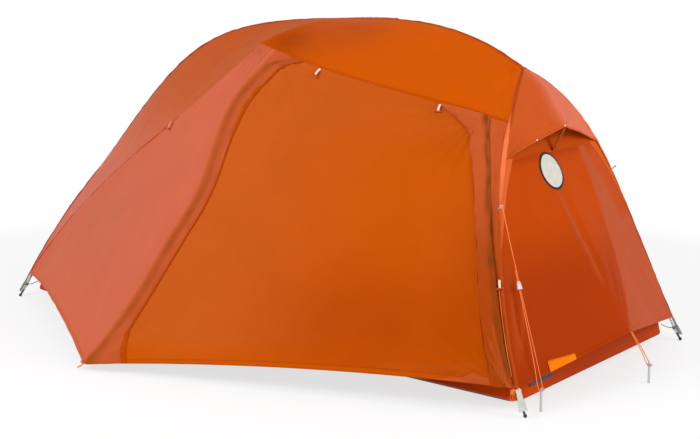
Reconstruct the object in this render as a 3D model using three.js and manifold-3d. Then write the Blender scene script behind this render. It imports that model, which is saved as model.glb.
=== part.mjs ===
// One-door trekking tent pitched on a hubbed pole frame: poles, inner tent, fly and fittings.
// Millimetres, +Z up. +X is the head end, -Y is the door side, and the origin is on the ground
// under the middle of the floor.
import * as THREE from 'three';
import { mergeVertices } from 'three/addons/utils/BufferGeometryUtils.js';
import Module from 'manifold-3d';

// Footprint
const floorLength = 2240;
const headFloorWidth = 970;
const footFloorWidth = 710;
const tipOutset = 45;            // pole tips stand this far outside the floor's corners
const tubHeight = 115;
const tubLean = 12;              // the tub's walls lean in by this at their rim
const tubChine = 60;             // the flat bottom ends this far inside the floor's edge
const tubChineRise = 30;

// Pole frame, measured on the poles' centre lines
const poleDiameter = 9;
const headHubInset = 345;        // from the head tips back to the head hub
const headHubHeight = 942;
const footHubInset = 76;
const footHubHeight = 478;
const peakFromHeadHub = 511;
const peakHeight = 1080;
const browFromHeadHub = 723;     // the brow pole crosses the spine here
const browHalf = 385;
const browSweep = 32;            // its tips are drawn back towards the foot end
const browSag = 39;              // the fly's brow line drops by this at its tips
const browTilt = 28;             // the door side is drawn down, the far side up
const spineFootHandle = 712;     // how far the spine keeps its slope above the foot hub
const spineFootSlope = 46;       // degrees
const spineRoofHandle = 862;
const spineBrowHandle = 221;
const spineHeadHandle = 149;
const spineHeadSlope = 33.5;     // degrees
const headLegTop = [126, 302, -127];   // pull of a head leg's curve at the hub
const headLegFoot = [-215, -83, 461];  // and at its tip
const footLegBow = 14;
const spineSplit = 0.42;         // share of the roof curve where the two spine sections meet

// Hubs, clip and tips
const hubSocketLength = 32;
const hubWall = 2.2;
const hubClearance = 1.1;        // round a pole in a hub's socket
const hubCore = 9;
const clipLength = 30;
const tipBall = 12;
const tipShank = 7;
const tipLength = 26;

// Cloth and gaps
const cloth = 1.6;
const seamGap = 0.26;            // each panel stops this far short of its seam
const touchGap = 0.3;
const poleClearance = 0.9;       // round a pole in its socket
const flyStandoff = 14;          // from a pole's centre line to the fly's outer face
const bellyHeight = 200;         // the tent's outward directions spread from this height
const innerDrop = 32;            // from a pole's centre line to the inner tent
const innerHangerRadius = 2.5;
const innerHangerLength = 12;

// Fly
const topSeamHeight = 790;       // where the top seam meets the head legs
const topSeamSag = 18;
const hoodHeight = 690;          // the vent hood reaches down to here on the head legs
const flyHeadCornerHeight = 82;
const flyFootCornerHeight = 86;
const creaseRise = 60;           // the seams from the brow tips to the foot corners bow out
const vestibuleX = -211;
const vestibuleY = -954;
const vestibuleHemHeight = 20;
const doorHemArch = 24;
const sideHemArch = 46;
const farHemArch = 30;
const footHemArch = 26;
const tieOutX = 1233;
const tieOutHeight = 153;
const hoodApexX = 983;
const hoodApexRise = 86;         // its peak stands this far above its lower corners
const hoodLift = 3;

// Zips and flaps
const zipHalfWidth = 10;
const zipThickness = 2.2;
const leftZipShare = 0.07;       // share of the top seam where the left zip starts
const rightZipShare = 0.896;
const zipSwayHead = -47;         // how far the left zip strays from a straight line, down its length
const zipSwayUpper = -16;
const zipSwayMiddle = 35;
const zipSwayLower = 38;
const zipSwayLow = 42;
const zipSwayFoot = 26;
const legStripFoot = 27;         // width of the strip beside the head leg, at its foot
const legStripFlare = 71;        // and what it gains at its top
const flapWidth = 52;
const flapHeadWidth = 42;
const flapOverlap = 9;
const flapSeamLift = 0.9;
const flapLift = 8.5;            // room for the slider under the flap
const sliderLength = 24;
const sliderWidth = 10;
const sliderHeight = 4;
const sliderLift = 0.7;
const innerSliderLift = 0.6;

// Inner door, in the inner tent's near wall
const innerDoorLeft = -210;
const innerDoorRight = 660;
const innerDoorSill = 175;
const innerDoorHead = 745;
const innerDoorRadius = 150;
const innerDoorGap = 0.6;

// Fittings
const toggleStrap = 24;
const toggleWidth = 8;
const toggleBar = 16;
const toggleBarDepth = 5;
const toggleThickness = 1.4;
const toggleLift = 0.7;          // over the cloth it lies on
const toggleShares = [0.26, 0.74];
const creaseToggleShare = 0.31;
const legToggleHeight = 372;
const tetherWidth = 13;
const tetherPlateWidth = 20;
const tetherPlateLength = 38;
const tetherThickness = 2.4;
const guyTabHeight = 560;
const farGuyTabHeight = 590;
const guyTabLength = 22;
const guyTabWidth = 12;
const guyTabThickness = 2;
const stakeLoopDrop = 14;
const stakeLoopReach = 22;
const stakeLoopWidth = 12;
const guyCordDiameter = 2.6;
const bungeeDiameter = 3;
const pegShaft = 8;
const pegSpool = 13;
const pegFlange = 1.5;
const pegGroove = 5;
const pegCrown = 4;              // above the groove
const cordRoom = 2.5;            // between the peg's shaft and a cord round it
const guyPeg = [1172, -452, 66];
const tieOutPeg = [1298, 0, 58];
const tensionerShare = 0.44;
const tensionerLength = 22;
const tensionerWidth = 18;
const tensionerDepth = 7;
const cordLockDiameter = 13;
const cordLockLength = 16;

const materials = {
  pole: new THREE.MeshStandardMaterial({ color: 0xb8bcc2, roughness: 0.3, metalness: 1 }),
  hub: new THREE.MeshStandardMaterial({ color: 0x2c2d30, roughness: 0.5, metalness: 0 }),
  topCloth: new THREE.MeshStandardMaterial({ color: 0xd75f00, roughness: 0.7, metalness: 0 }),
  sideCloth: new THREE.MeshStandardMaterial({ color: 0xcd694b, roughness: 0.7, metalness: 0 }),
  doorCloth: new THREE.MeshStandardMaterial({ color: 0xcc5f1a, roughness: 0.7, metalness: 0 }),
  endCloth: new THREE.MeshStandardMaterial({ color: 0xbe4600, roughness: 0.7, metalness: 0 }),
  floorCloth: new THREE.MeshStandardMaterial({ color: 0xa03008, roughness: 0.6, metalness: 0 }),
  innerCloth: new THREE.MeshStandardMaterial({ color: 0xe3c7a4, roughness: 0.8, metalness: 0 }),
  mesh: new THREE.MeshStandardMaterial({ color: 0x8f8d88, roughness: 0.9, metalness: 0 }),
  zip: new THREE.MeshStandardMaterial({ color: 0xaa5528, roughness: 0.6, metalness: 0 }),
  webbing: new THREE.MeshStandardMaterial({ color: 0xcdcdc3, roughness: 0.8, metalness: 0 }),
  toggle: new THREE.MeshStandardMaterial({ color: 0xc83214, roughness: 0.45, metalness: 0 }),
  cord: new THREE.MeshStandardMaterial({ color: 0xff8232, roughness: 0.7, metalness: 0 }),
  peg: new THREE.MeshStandardMaterial({ color: 0x9a9ca0, roughness: 0.35, metalness: 1 }),
};

const wasm = await Module();
wasm.setup();
const tent = new THREE.Group();
const poleRadius = poleDiameter / 2;

function vec(x, y, z) {
  return new THREE.Vector3(x, y, z);
}

function add(name, geometry, material) {
  const mesh = new THREE.Mesh(geometry, material);
  mesh.name = name;
  tent.add(mesh);
  return mesh;
}

// --- Curves and surfaces ---

function bezier(start, startPull, endPull, end) {
  const first = start.clone().add(startPull);
  const second = end.clone().add(endPull);
  return new THREE.CubicBezierCurve3(start, first, second, end);
}

// Parameter at which a curve first reaches a value along one axis.
function paramAt(curve, axis, value) {
  let low = 0;
  let high = 1;
  const rising = curve.getPoint(1)[axis] > curve.getPoint(0)[axis];
  for (let step = 0; step < 50; step += 1) {
    const middle = (low + high) / 2;
    const below = curve.getPoint(middle)[axis] < value;
    if (below === rising) low = middle;
    else high = middle;
  }
  return (low + high) / 2;
}

function sample(curve, from, to, steps) {
  const points = [];
  for (let i = 0; i <= steps; i += 1) points.push(curve.getPoint(from + ((to - from) * i) / steps));
  return points;
}

function line(start, end, steps) {
  return sample(new THREE.LineCurve3(start, end), 0, 1, steps);
}

// Outwards from the tent, a direction that panels on both sides of a seam share.
function outward(point) {
  return vec(0.35 * point.x, point.y, point.z - bellyHeight).normalize();
}

function moved(point, distance) {
  return point.clone().addScaledVector(outward(point), distance);
}

function overPole(points) {
  return points.map((point) => moved(point, flyStandoff));
}

function towards(from, to, distance) {
  return from.clone().addScaledVector(to.clone().sub(from).normalize(), distance);
}

// Surface stretched between four edges that share their corners.
function stretch(top, bottom, left, right) {
  const columns = top.length - 1;
  const rows = left.length - 1;
  const grid = [];
  for (let r = 0; r <= rows; r += 1) {
    const v = r / rows;
    grid.push([]);
    for (let c = 0; c <= columns; c += 1) {
      const u = c / columns;
      const point = vec(0, 0, 0);
      point.addScaledVector(top[c], 1 - v).addScaledVector(bottom[c], v);
      point.addScaledVector(left[r], 1 - u).addScaledVector(right[r], u);
      point.addScaledVector(top[0], -(1 - u) * (1 - v)).addScaledVector(top[columns], -u * (1 - v));
      point.addScaledVector(bottom[0], -(1 - u) * v).addScaledVector(bottom[columns], -u * v);
      grid[r].push(point);
    }
  }
  return grid;
}

// Draws a grid's edges in by a gap, so that neighbours along a seam don't touch.
function drawnIn(grid, gap) {
  const rows = grid.length - 1;
  const columns = grid[0].length - 1;
  const result = grid.map((row) => row.map((point) => point.clone()));
  const pull = (r, c, toR, toC, distance) => {
    const direction = grid[toR][toC].clone().sub(grid[r][c]);
    if (direction.length() > gap) result[r][c].addScaledVector(direction.normalize(), distance);
  };
  const isApex = (r) => grid[r][0].distanceTo(grid[r][columns]) < 1;
  for (let r = 0; r <= rows; r += 1) {
    if (isApex(r)) continue;
    pull(r, 0, r, 1, gap);
    pull(r, columns, r, columns - 1, gap);
  }
  for (let c = 0; c <= columns; c += 1) {
    if (isApex(0)) pull(0, c, 1, Math.round(columns / 2), 4 * gap);
    else pull(0, c, 1, c, gap);
    pull(rows, c, rows - 1, c, gap);
  }
  return result;
}

// Closed solid from triangles; vertices in one place are merged and empty triangles dropped.
function closedGeometry(points, triangles) {
  const index = new Map();
  const positions = [];
  const ids = points.map((point) => {
    const key = [point.x, point.y, point.z].map((value) => value.toFixed(4)).join();
    if (!index.has(key)) {
      index.set(key, positions.length / 3);
      positions.push(point.x, point.y, point.z);
    }
    return index.get(key);
  });
  const kept = [];
  for (const [a, b, c] of triangles) {
    const face = [ids[a], ids[b], ids[c]];
    if (new Set(face).size === 3) kept.push(face);
  }
  const at = (id) => vec(positions[3 * id], positions[3 * id + 1], positions[3 * id + 2]);
  const volume = kept.reduce((sum, [a, b, c]) => sum + at(a).dot(at(b).cross(at(c))), 0);
  const faces = volume < 0 ? kept.map(([a, b, c]) => [a, c, b]) : kept;
  const geometry = new THREE.BufferGeometry();
  geometry.setAttribute('position', new THREE.Float32BufferAttribute(positions, 3));
  geometry.setIndex(faces.flat());
  return geometry;
}

// Cloth solid: the grid is its outer face, and its thickness goes inwards.
function clothSolid(grid, thickness = cloth, gap = seamGap) {
  const outer = drawnIn(grid, gap);
  const rows = outer.length - 1;
  const columns = outer[0].length - 1;
  const inner = outer.map((row) => row.map((point) => moved(point, -thickness)));
  const points = [...outer.flat(), ...inner.flat()];
  const count = (rows + 1) * (columns + 1);
  const id = (r, c, side) => side * count + r * (columns + 1) + c;
  const triangles = [];
  const quad = (a, b, c, d) => triangles.push([a, b, c], [a, c, d]);
  for (let r = 0; r < rows; r += 1) {
    for (let c = 0; c < columns; c += 1) {
      quad(id(r, c, 0), id(r, c + 1, 0), id(r + 1, c + 1, 0), id(r + 1, c, 0));
      quad(id(r, c, 1), id(r + 1, c, 1), id(r + 1, c + 1, 1), id(r, c + 1, 1));
    }
  }
  for (let c = 0; c < columns; c += 1) {
    quad(id(0, c, 0), id(0, c, 1), id(0, c + 1, 1), id(0, c + 1, 0));
    quad(id(rows, c, 0), id(rows, c + 1, 0), id(rows, c + 1, 1), id(rows, c, 1));
  }
  for (let r = 0; r < rows; r += 1) {
    quad(id(r, 0, 0), id(r + 1, 0, 0), id(r + 1, 0, 1), id(r, 0, 1));
    quad(id(r, columns, 0), id(r, columns, 1), id(r + 1, columns, 1), id(r + 1, columns, 0));
  }
  return closedGeometry(points, triangles);
}

// --- Solids ---

function toManifold(geometry) {
  const bare = geometry.clone();
  bare.deleteAttribute('normal');
  bare.deleteAttribute('uv');
  const merged = mergeVertices(bare, 1e-4);
  const vertProperties = new Float32Array(merged.attributes.position.array);
  const triVerts = new Uint32Array(merged.index.array);
  return new wasm.Manifold(new wasm.Mesh({ numProp: 3, vertProperties, triVerts }));
}

function toGeometry(solid) {
  const result = solid.getMesh();
  const geometry = new THREE.BufferGeometry();
  geometry.setAttribute('position', new THREE.BufferAttribute(result.vertProperties, 3));
  geometry.setIndex(new THREE.BufferAttribute(result.triVerts, 1));
  return geometry;
}

function join(geometries) {
  return geometries.map(toManifold).reduce((sum, solid) => sum.add(solid));
}

// Rod of a given radius between two points.
function rod(start, end, radius, sides = 12) {
  const length = start.distanceTo(end);
  const geometry = new THREE.CylinderGeometry(radius, radius, length, sides);
  const turn = new THREE.Quaternion().setFromUnitVectors(vec(0, 1, 0), end.clone().sub(start).normalize());
  geometry.applyQuaternion(turn);
  const middle = start.clone().add(end).multiplyScalar(0.5);
  geometry.translate(middle.x, middle.y, middle.z);
  return geometry;
}

// Round tube swept along a curve.
function sweep(curve, radius, steps, sides) {
  const outline = new THREE.Shape();
  for (let i = 0; i < sides; i += 1) {
    const angle = (2 * Math.PI * (i + 0.5)) / sides;
    const x = radius * Math.cos(angle);
    const y = radius * Math.sin(angle);
    if (i === 0) outline.moveTo(x, y);
    else outline.lineTo(x, y);
  }
  outline.closePath();
  return new THREE.ExtrudeGeometry(outline, { steps, extrudePath: curve, bevelEnabled: false });
}

// Stretch of a curve between two of its parameters.
function part(curve, from, to, count) {
  return new THREE.CatmullRomCurve3(sample(curve, from, to, count));
}

// Places a shape drawn in x, y (thickness along z) at a point, with its x and y along two directions.
function placed(geometry, origin, xDirection, yDirection) {
  const x = xDirection.clone().normalize();
  const z = x.clone().cross(yDirection).normalize();
  const y = z.clone().cross(x);
  const matrix = new THREE.Matrix4().makeBasis(x, y, z).setPosition(origin);
  return geometry.clone().applyMatrix4(matrix);
}

function slab(outline, thickness, holes = []) {
  const shape = new THREE.Shape(outline.map(([x, y]) => new THREE.Vector2(x, y)));
  for (const hole of holes) shape.holes.push(new THREE.Path(hole.map(([x, y]) => new THREE.Vector2(x, y))));
  return new THREE.ExtrudeGeometry(shape, { depth: thickness, bevelEnabled: false });
}

function roundedOutline(left, bottom, right, top, radius, arcSteps = 4) {
  const corners = [
    [right - radius, bottom + radius, -90],
    [right - radius, top - radius, 0],
    [left + radius, top - radius, 90],
    [left + radius, bottom + radius, 180],
  ];
  const outline = [];
  for (const [x, y, startAngle] of corners) {
    for (let i = 0; i <= arcSteps; i += 1) {
      const angle = THREE.MathUtils.degToRad(startAngle + (90 * i) / arcSteps);
      outline.push([x + radius * Math.cos(angle), y + radius * Math.sin(angle)]);
    }
  }
  return outline;
}

// --- Pole lines ---

const headTipX = floorLength / 2 + tipOutset;
const footTipX = -headTipX;
const headTipY = headFloorWidth / 2 + tipOutset;
const footTipY = footFloorWidth / 2 + tipOutset;
const headHub = vec(headTipX - headHubInset, 0, headHubHeight);
const footHub = vec(footTipX + footHubInset, 0, footHubHeight);
const peak = vec(headHub.x - peakFromHeadHub, 0, peakHeight);
const browX = headHub.x - browFromHeadHub;

function slopePull(length, degrees, sign) {
  const angle = THREE.MathUtils.degToRad(degrees);
  return vec(sign * length * Math.cos(angle), 0, length * Math.sin(angle));
}

const headSpine = bezier(
  peak,
  vec(spineBrowHandle, 0, 0),
  slopePull(spineHeadHandle, spineHeadSlope, -1),
  headHub,
);
const roofSpine = bezier(
  peak,
  vec(-spineRoofHandle, 0, 0),
  slopePull(spineFootHandle, spineFootSlope, 1),
  footHub,
);
const crossingShare = paramAt(roofSpine, 'x', browX);
const crossing = roofSpine.getPoint(crossingShare);

function headLeg(side) {
  const tip = vec(headTipX, side * headTipY, 0);
  const topPull = vec(headLegTop[0], side * headLegTop[1], headLegTop[2]);
  const footPull = vec(headLegFoot[0], side * headLegFoot[1], headLegFoot[2]);
  return bezier(headHub, topPull, footPull, tip);
}

function footLeg(side) {
  const tip = vec(footTipX, side * footTipY, 0);
  const third = tip.clone().sub(footHub).divideScalar(3);
  const bow = vec(-footLegBow, side * footLegBow, footLegBow);
  return bezier(footHub, third.clone().add(bow), third.clone().negate().add(bow), tip);
}

const headLegs = { near: headLeg(-1), far: headLeg(1) };
const footLegs = { near: footLeg(-1), far: footLeg(1) };
const sides = { near: -1, far: 1 };

// The brow pole runs under the spine and carries the fly at its two tips.
const browDrop = poleDiameter + 2 * hubWall + 2 * poleClearance;
function browTip(side) {
  const height = crossing.z - browSag + side * browTilt;
  return vec(crossing.x - browSweep, side * browHalf, height);
}
const browCurve = new THREE.QuadraticBezierCurve3(
  browTip(-1),
  vec(
    crossing.x + browSweep,
    0,
    2 * (crossing.z - browDrop) - (browTip(-1).z + browTip(1).z) / 2,
  ),
  browTip(1),
);

// --- Fly lines, on the fly's outer face ---

const headSpineSteps = 9;
const roofSteps = 12;
const browSteps = 4;
const legTopSteps = 4;
const ventSteps = 3;
const legSteps = 12;
const footLegSteps = 4;

const spineToCrossing = new THREE.CatmullRomCurve3([
  ...sample(headSpine, 1, 0, 10),
  ...sample(roofSpine, crossingShare / 3, crossingShare, 2),
]);
const spineHeadLine = overPole(sample(spineToCrossing, 1, 0, headSpineSteps));
const spineFootLine = overPole(sample(roofSpine, crossingShare, 1, roofSteps));
spineFootLine[0].copy(spineHeadLine[0]);
const flyHeadHub = spineHeadLine[headSpineSteps];
const flyFootHub = spineFootLine[roofSteps];

function flyBrow(side) {
  const start = spineHeadLine[0];
  const end = moved(browTip(side), flyStandoff);
  const points = [];
  for (let i = 0; i <= browSteps; i += 1) {
    const share = i / browSteps;
    const point = start.clone().lerp(end, share * share);
    point.y = start.y + (end.y - start.y) * share;
    points.push(point);
  }
  return points;
}

// Head leg stations: hub to top seam, top seam to hood foot, hood foot to fly corner.
function flyHeadLeg(side) {
  const curve = headLegs[side];
  const seamShare = paramAt(curve, 'z', topSeamHeight);
  const hoodShare = paramAt(curve, 'z', hoodHeight);
  const cornerShare = paramAt(curve, 'z', flyHeadCornerHeight);
  const upper = sample(curve, 0, seamShare, legTopSteps);
  const middle = sample(curve, seamShare, hoodShare, ventSteps);
  const lower = sample(curve, hoodShare, cornerShare, legSteps - ventSteps);
  return overPole([...upper, ...middle.slice(1), ...lower.slice(1)]);
}

function flyFootLeg(side) {
  const curve = footLegs[side];
  return overPole(sample(curve, 0, paramAt(curve, 'z', flyFootCornerHeight), footLegSteps));
}

const brow = { near: flyBrow(-1), far: flyBrow(1) };
const headLegLine = { near: flyHeadLeg('near'), far: flyHeadLeg('far') };
const footLegLine = { near: flyFootLeg('near'), far: flyFootLeg('far') };
const lowerLeg = { near: headLegLine.near.slice(legTopSteps), far: headLegLine.far.slice(legTopSteps) };

// Top seam from a brow tip to the head leg, sagging a third of the way along.
function topSeamPoint(side, share) {
  const point = brow[side][browSteps].clone().lerp(lowerLeg[side][0], share);
  point.z -= topSeamSag * 6.75 * share * (1 - share) ** 2;
  return point;
}

const doorColumns = headSpineSteps - 2;
const seamShares = [0];
for (let i = 0; i <= doorColumns; i += 1) {
  seamShares.push(leftZipShare + ((rightZipShare - leftZipShare) * i) / doorColumns);
}
seamShares.push(1);

function topSeam(side) {
  return seamShares.map((share) => topSeamPoint(side, share));
}

// Seam from a brow tip down to the foot corner, bowed up towards its lower end.
function crease(side) {
  const start = brow[side][browSteps];
  const end = footLegLine[side][footLegSteps];
  const points = [];
  for (let i = 0; i <= roofSteps; i += 1) {
    const share = i / roofSteps;
    const point = start.clone().lerp(end, share);
    point.z += creaseRise * 6.75 * share ** 2 * (1 - share);
    points.push(point);
  }
  return points;
}

const seam = { near: topSeam('near'), far: topSeam('far') };
const creases = { near: crease('near'), far: crease('far') };

function hem(start, end, arch, shares) {
  return shares.map((share) => {
    const point = start.clone().lerp(end, share);
    point.z += arch * 4 * share * (1 - share);
    return point;
  });
}

function evenShares(steps) {
  return Array.from({ length: steps + 1 }, (unused, i) => i / steps);
}

// --- Fly panels ---

for (const side of ['near', 'far']) {
  const top = stretch(spineHeadLine, seam[side], brow[side], headLegLine[side].slice(0, legTopSteps + 1));
  add(`fly_top_${side}`, clothSolid(top), materials.topCloth);
  const roof = stretch(spineFootLine, creases[side], brow[side], footLegLine[side]);
  add(`fly_roof_${side}`, clothSolid(roof), materials.sideCloth);
}

const farHem = hem(
  creases.far[roofSteps],
  lowerLeg.far[legSteps],
  farHemArch,
  evenShares(headSpineSteps),
);
const farWall = stretch(seam.far, farHem, creases.far, lowerLeg.far);
add('fly_far_wall', clothSolid(farWall), materials.sideCloth);

const footColumns = 6;
const footApex = Array.from({ length: footColumns + 1 }, () => flyFootHub.clone());
const footHem = hem(
  footLegLine.near[footLegSteps],
  footLegLine.far[footLegSteps],
  footHemArch,
  evenShares(footColumns),
);
const footWall = stretch(footApex, footHem, footLegLine.near, footLegLine.far);
add('fly_foot_wall', clothSolid(footWall), materials.sideCloth);

// Head wall below the vent: its hem is drawn out to the tie-out in the middle.
const headColumns = 8;
const sillNear = lowerLeg.near[ventSteps];
const sillFar = lowerLeg.far[ventSteps];
const sill = line(sillNear, sillFar, headColumns);
const tieOut = vec(tieOutX, 0, tieOutHeight);
const headHem = [
  ...line(lowerLeg.near[legSteps], tieOut, headColumns / 2),
  ...line(tieOut, lowerLeg.far[legSteps], headColumns / 2).slice(1),
];
const headWall = stretch(sill, headHem, lowerLeg.near.slice(ventSteps), lowerLeg.far.slice(ventSteps));
add('fly_head_wall', clothSolid(headWall), materials.endCloth);

// Mesh vent above it, and the hood that shades the vent.
const ventApex = Array.from({ length: headColumns + 1 }, () => flyHeadHub.clone());
const ventLegs = (side) => headLegLine[side].slice(0, legTopSteps + ventSteps + 1);
const vent = stretch(ventApex, sill, ventLegs('near'), ventLegs('far'));
add('vent_mesh', clothSolid(vent), materials.mesh);

function hoodEdge(side) {
  return ventLegs(side).map((point) => {
    const inset = Math.min(hoodLift, Math.abs(point.y));
    return vec(point.x + hoodLift, point.y - sides[side] * inset, point.z);
  });
}
const hoodEdges = { near: hoodEdge('near'), far: hoodEdge('far') };
const hoodTop = Array.from({ length: headColumns + 1 }, () => hoodEdges.near[0].clone());
const hoodApex = vec(hoodApexX, 0, hoodHeight + hoodApexRise);
const ventRows = legTopSteps + ventSteps;
const hoodHem = [
  ...line(hoodEdges.near[ventRows], hoodApex, headColumns / 2),
  ...line(hoodApex, hoodEdges.far[ventRows], headColumns / 2).slice(1),
];
const hood = stretch(hoodTop, hoodHem, hoodEdges.near, hoodEdges.far);
add('vent_hood', clothSolid(hood, cloth, touchGap), materials.sideCloth);

// Prop between the sill and the hood's peak. It turns on the sill.
const sillMiddle = sill[headColumns / 2];
const propWidth = 16;
const propThickness = 2;
const propBase = sillMiddle.clone().add(vec(propThickness + touchGap, 0, -propThickness));
const propTop = hoodApex.clone().add(vec(-propThickness, 0, -propThickness - touchGap));
const propLength = propBase.distanceTo(propTop);
const propOutline = roundedOutline(-propWidth / 2, 0, propWidth / 2, propLength, propWidth / 4, 2);
add(
  'vent_prop',
  placed(slab(propOutline, propThickness), propBase, vec(0, 1, 0), propTop.clone().sub(propBase)),
  materials.hub,
);

// --- Vestibule: left zip, door, right zip, strip beside the head leg ---

const doorCorner = vec(vestibuleX, vestibuleY, vestibuleHemHeight);
const doorHemSpan = doorCorner.distanceTo(lowerLeg.near[legSteps]);
const rightZipHemShare = 1 - legStripFoot / doorHemSpan;
const doorHemShares = evenShares(doorColumns).map((share) => share * rightZipHemShare);
const doorHem = hem(doorCorner, lowerLeg.near[legSteps], doorHemArch, [...doorHemShares, 1]);

// The left zip leaves the top seam, swings to the foot end and runs back to the ground corner.
const leftZipStart = seam.near[1];
const zipSways = [
  [0.16, zipSwayHead],
  [0.3, zipSwayUpper],
  [0.45, zipSwayMiddle],
  [0.6, zipSwayLower],
  [0.78, zipSwayLow],
  [0.93, zipSwayFoot],
];
const leftZipCurve = new THREE.CatmullRomCurve3([
  leftZipStart,
  ...zipSways.map(([share, sway]) => leftZipStart.clone().lerp(doorCorner, share).add(vec(sway, 0, 0))),
  doorCorner,
]);
const leftZip = leftZipCurve.getSpacedPoints(legSteps);
const rightZip = lowerLeg.near.map((point, i) => {
  const share = i / legSteps;
  return towards(point, leftZip[i], legStripFoot + legStripFlare * (1 - share) ** 2.2);
});
rightZip[0].copy(seam.near[1 + doorColumns]);
rightZip[legSteps].copy(doorHem[doorColumns]);

// Line beside a zip, a set distance towards what lies across the panel.
function beside(zip, across, distance) {
  return zip.map((point, i) => towards(point, across[i], distance));
}
function withEnds(points, first, last) {
  return [first, ...points.slice(1, -1), last];
}

const acrossDoorFromLeft = withEnds(rightZip, seam.near[2], doorHem[1]);
const acrossDoorFromRight = withEnds(leftZip, seam.near[doorColumns], doorHem[doorColumns - 1]);
const acrossSide = withEnds(creases.near, seam.near[0], creases.near[roofSteps]);
const acrossStrip = lowerLeg.near;
const doorLeft = beside(leftZip, acrossDoorFromLeft, zipHalfWidth);
const doorRight = beside(rightZip, acrossDoorFromRight, zipHalfWidth);
const sideRight = beside(leftZip, acrossSide, zipHalfWidth);
const stripLeft = beside(rightZip, acrossStrip, zipHalfWidth);

const doorTop = withEnds(seam.near.slice(1, 2 + doorColumns), doorLeft[0], doorRight[0]);
const doorBottom = withEnds(doorHem.slice(0, 1 + doorColumns), doorLeft[legSteps], doorRight[legSteps]);
const door = stretch(doorTop, doorBottom, doorLeft, doorRight);
add('vestibule_door', clothSolid(door), materials.doorCloth);

const sideColumns = 4;
const sideTop = line(seam.near[0], sideRight[0], sideColumns);
const sideBottom = hem(creases.near[roofSteps], sideRight[legSteps], sideHemArch, evenShares(sideColumns));
const sidePanel = stretch(sideTop, sideBottom, creases.near, sideRight);
add('fly_vestibule_side', clothSolid(sidePanel), materials.sideCloth);

const stripTop = line(stripLeft[0], lowerLeg.near[0], 2);
const stripBottom = line(stripLeft[legSteps], lowerLeg.near[legSteps], 2);
const strip = stretch(stripTop, stripBottom, stripLeft, lowerLeg.near);
add('fly_leg_strip', clothSolid(strip), materials.sideCloth);

// Zip tapes, one half on the door and one on the panel beside it. The door's half stops above the
// slider, which waits at the foot.
function alongLine(points, distanceFromEnd) {
  const last = points.length - 1;
  return towards(points[last], points[last - 1], distanceFromEnd);
}
function tape(centre, edge, shorten) {
  const inner = centre.map((point) => point.clone());
  const outer = edge.map((point) => point.clone());
  const last = inner.length - 1;
  if (shorten > 0) {
    inner[last] = alongLine(centre, shorten);
    outer[last] = alongLine(edge, shorten);
  }
  const rows = inner.map((point, i) => [moved(point, zipThickness - cloth), moved(outer[i], zipThickness - cloth)]);
  return clothSolid(rows, zipThickness);
}
const sliderRoom = sliderLength + 8;
add('left_zip_door_tape', tape(leftZip, doorLeft, sliderRoom), materials.zip);
add('left_zip_side_tape', tape(leftZip, sideRight, 0), materials.zip);
add('right_zip_door_tape', tape(rightZip, doorRight, sliderRoom), materials.zip);
add('right_zip_side_tape', tape(rightZip, stripLeft, 0), materials.zip);

// Direction square to two others, turned to face out of the tent.
function normalOf(first, second, point) {
  const normal = first.clone().cross(second).normalize();
  return normal.dot(outward(point)) < 0 ? normal.negate() : normal;
}

// Storm flaps, sewn to the door and lying over the zips.
function flap(zip, acrossDoor, acrossPanel, width) {
  const rows = [];
  for (let i = 0; i <= legSteps; i += 1) {
    const start = i === 0 ? zip[0].clone().lerp(zip[1], 0.3) : zip[i];
    const beforeIt = zip[Math.max(i - 1, 0)];
    const afterIt = zip[Math.min(i + 1, legSteps)];
    const along = afterIt.clone().sub(beforeIt);
    const intoDoor = towards(start, acrossDoor[Math.max(i, 1)], 1).sub(start);
    const intoPanel = towards(start, acrossPanel[Math.max(i, 1)], 1).sub(start);
    const doorNormal = normalOf(along, intoDoor, start);
    const panelNormal = normalOf(along, intoPanel, start);
    const ridge = doorNormal.clone().add(panelNormal).normalize();
    const at = (into, distance, normal, lift) =>
      start.clone().addScaledVector(into, distance).addScaledVector(normal, lift + cloth);
    rows.push([
      at(intoDoor, width, doorNormal, flapSeamLift),
      at(intoDoor, zipHalfWidth + sliderWidth / 2, doorNormal, flapLift),
      at(intoDoor, 0, ridge, flapLift),
      at(intoPanel, flapOverlap, panelNormal, flapLift),
    ]);
  }
  return clothSolid(rows, cloth, seamGap);
}
add('left_storm_flap', flap(leftZip, acrossDoorFromLeft, acrossSide, flapWidth), materials.doorCloth);
add('right_storm_flap', flap(rightZip, acrossDoorFromRight, acrossStrip, flapHeadWidth), materials.doorCloth);

// Zip sliders at the foot of each zip.
const sliderOutline = roundedOutline(-sliderWidth / 2, 0, sliderWidth / 2, sliderLength, 3, 2);
function slider(zip, acrossDoor, acrossPanel) {
  const foot = alongLine(zip, 4);
  const along = zip[legSteps - 3].clone().sub(foot).normalize();
  const doorNormal = normalOf(along, acrossDoor[legSteps - 1].clone().sub(foot), foot);
  const panelNormal = normalOf(along, acrossPanel[legSteps - 1].clone().sub(foot), foot);
  const normal = doorNormal.add(panelNormal).normalize();
  const base = foot.addScaledVector(normal, zipThickness - cloth + sliderLift);
  return placed(slab(sliderOutline, sliderHeight), base, along.clone().cross(normal), along);
}
add('left_zip_slider', slider(leftZip, acrossDoorFromLeft, acrossSide), materials.hub);
add('right_zip_slider', slider(rightZip, acrossDoorFromRight, acrossStrip), materials.hub);

// --- Poles, hubs, clip and tips ---

const hubSeat = hubCore + touchGap;
function fromStart(curve, distance) {
  return distance / curve.getLength();
}

// A pole's curve from a hub outwards, straight where it sits in its socket.
function seated(centre, curve, end, count) {
  const reach = hubCore + hubSocketLength;
  const mouth = towards(centre, curve.getPoint(fromStart(curve, reach)), reach);
  const inSocket = [0, 0.33, 0.67, 1].map((share) => towards(centre, mouth, hubSeat + share * (reach - hubSeat)));
  return [...inSocket, ...sample(curve, fromStart(curve, reach + 45), end, count)];
}

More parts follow.
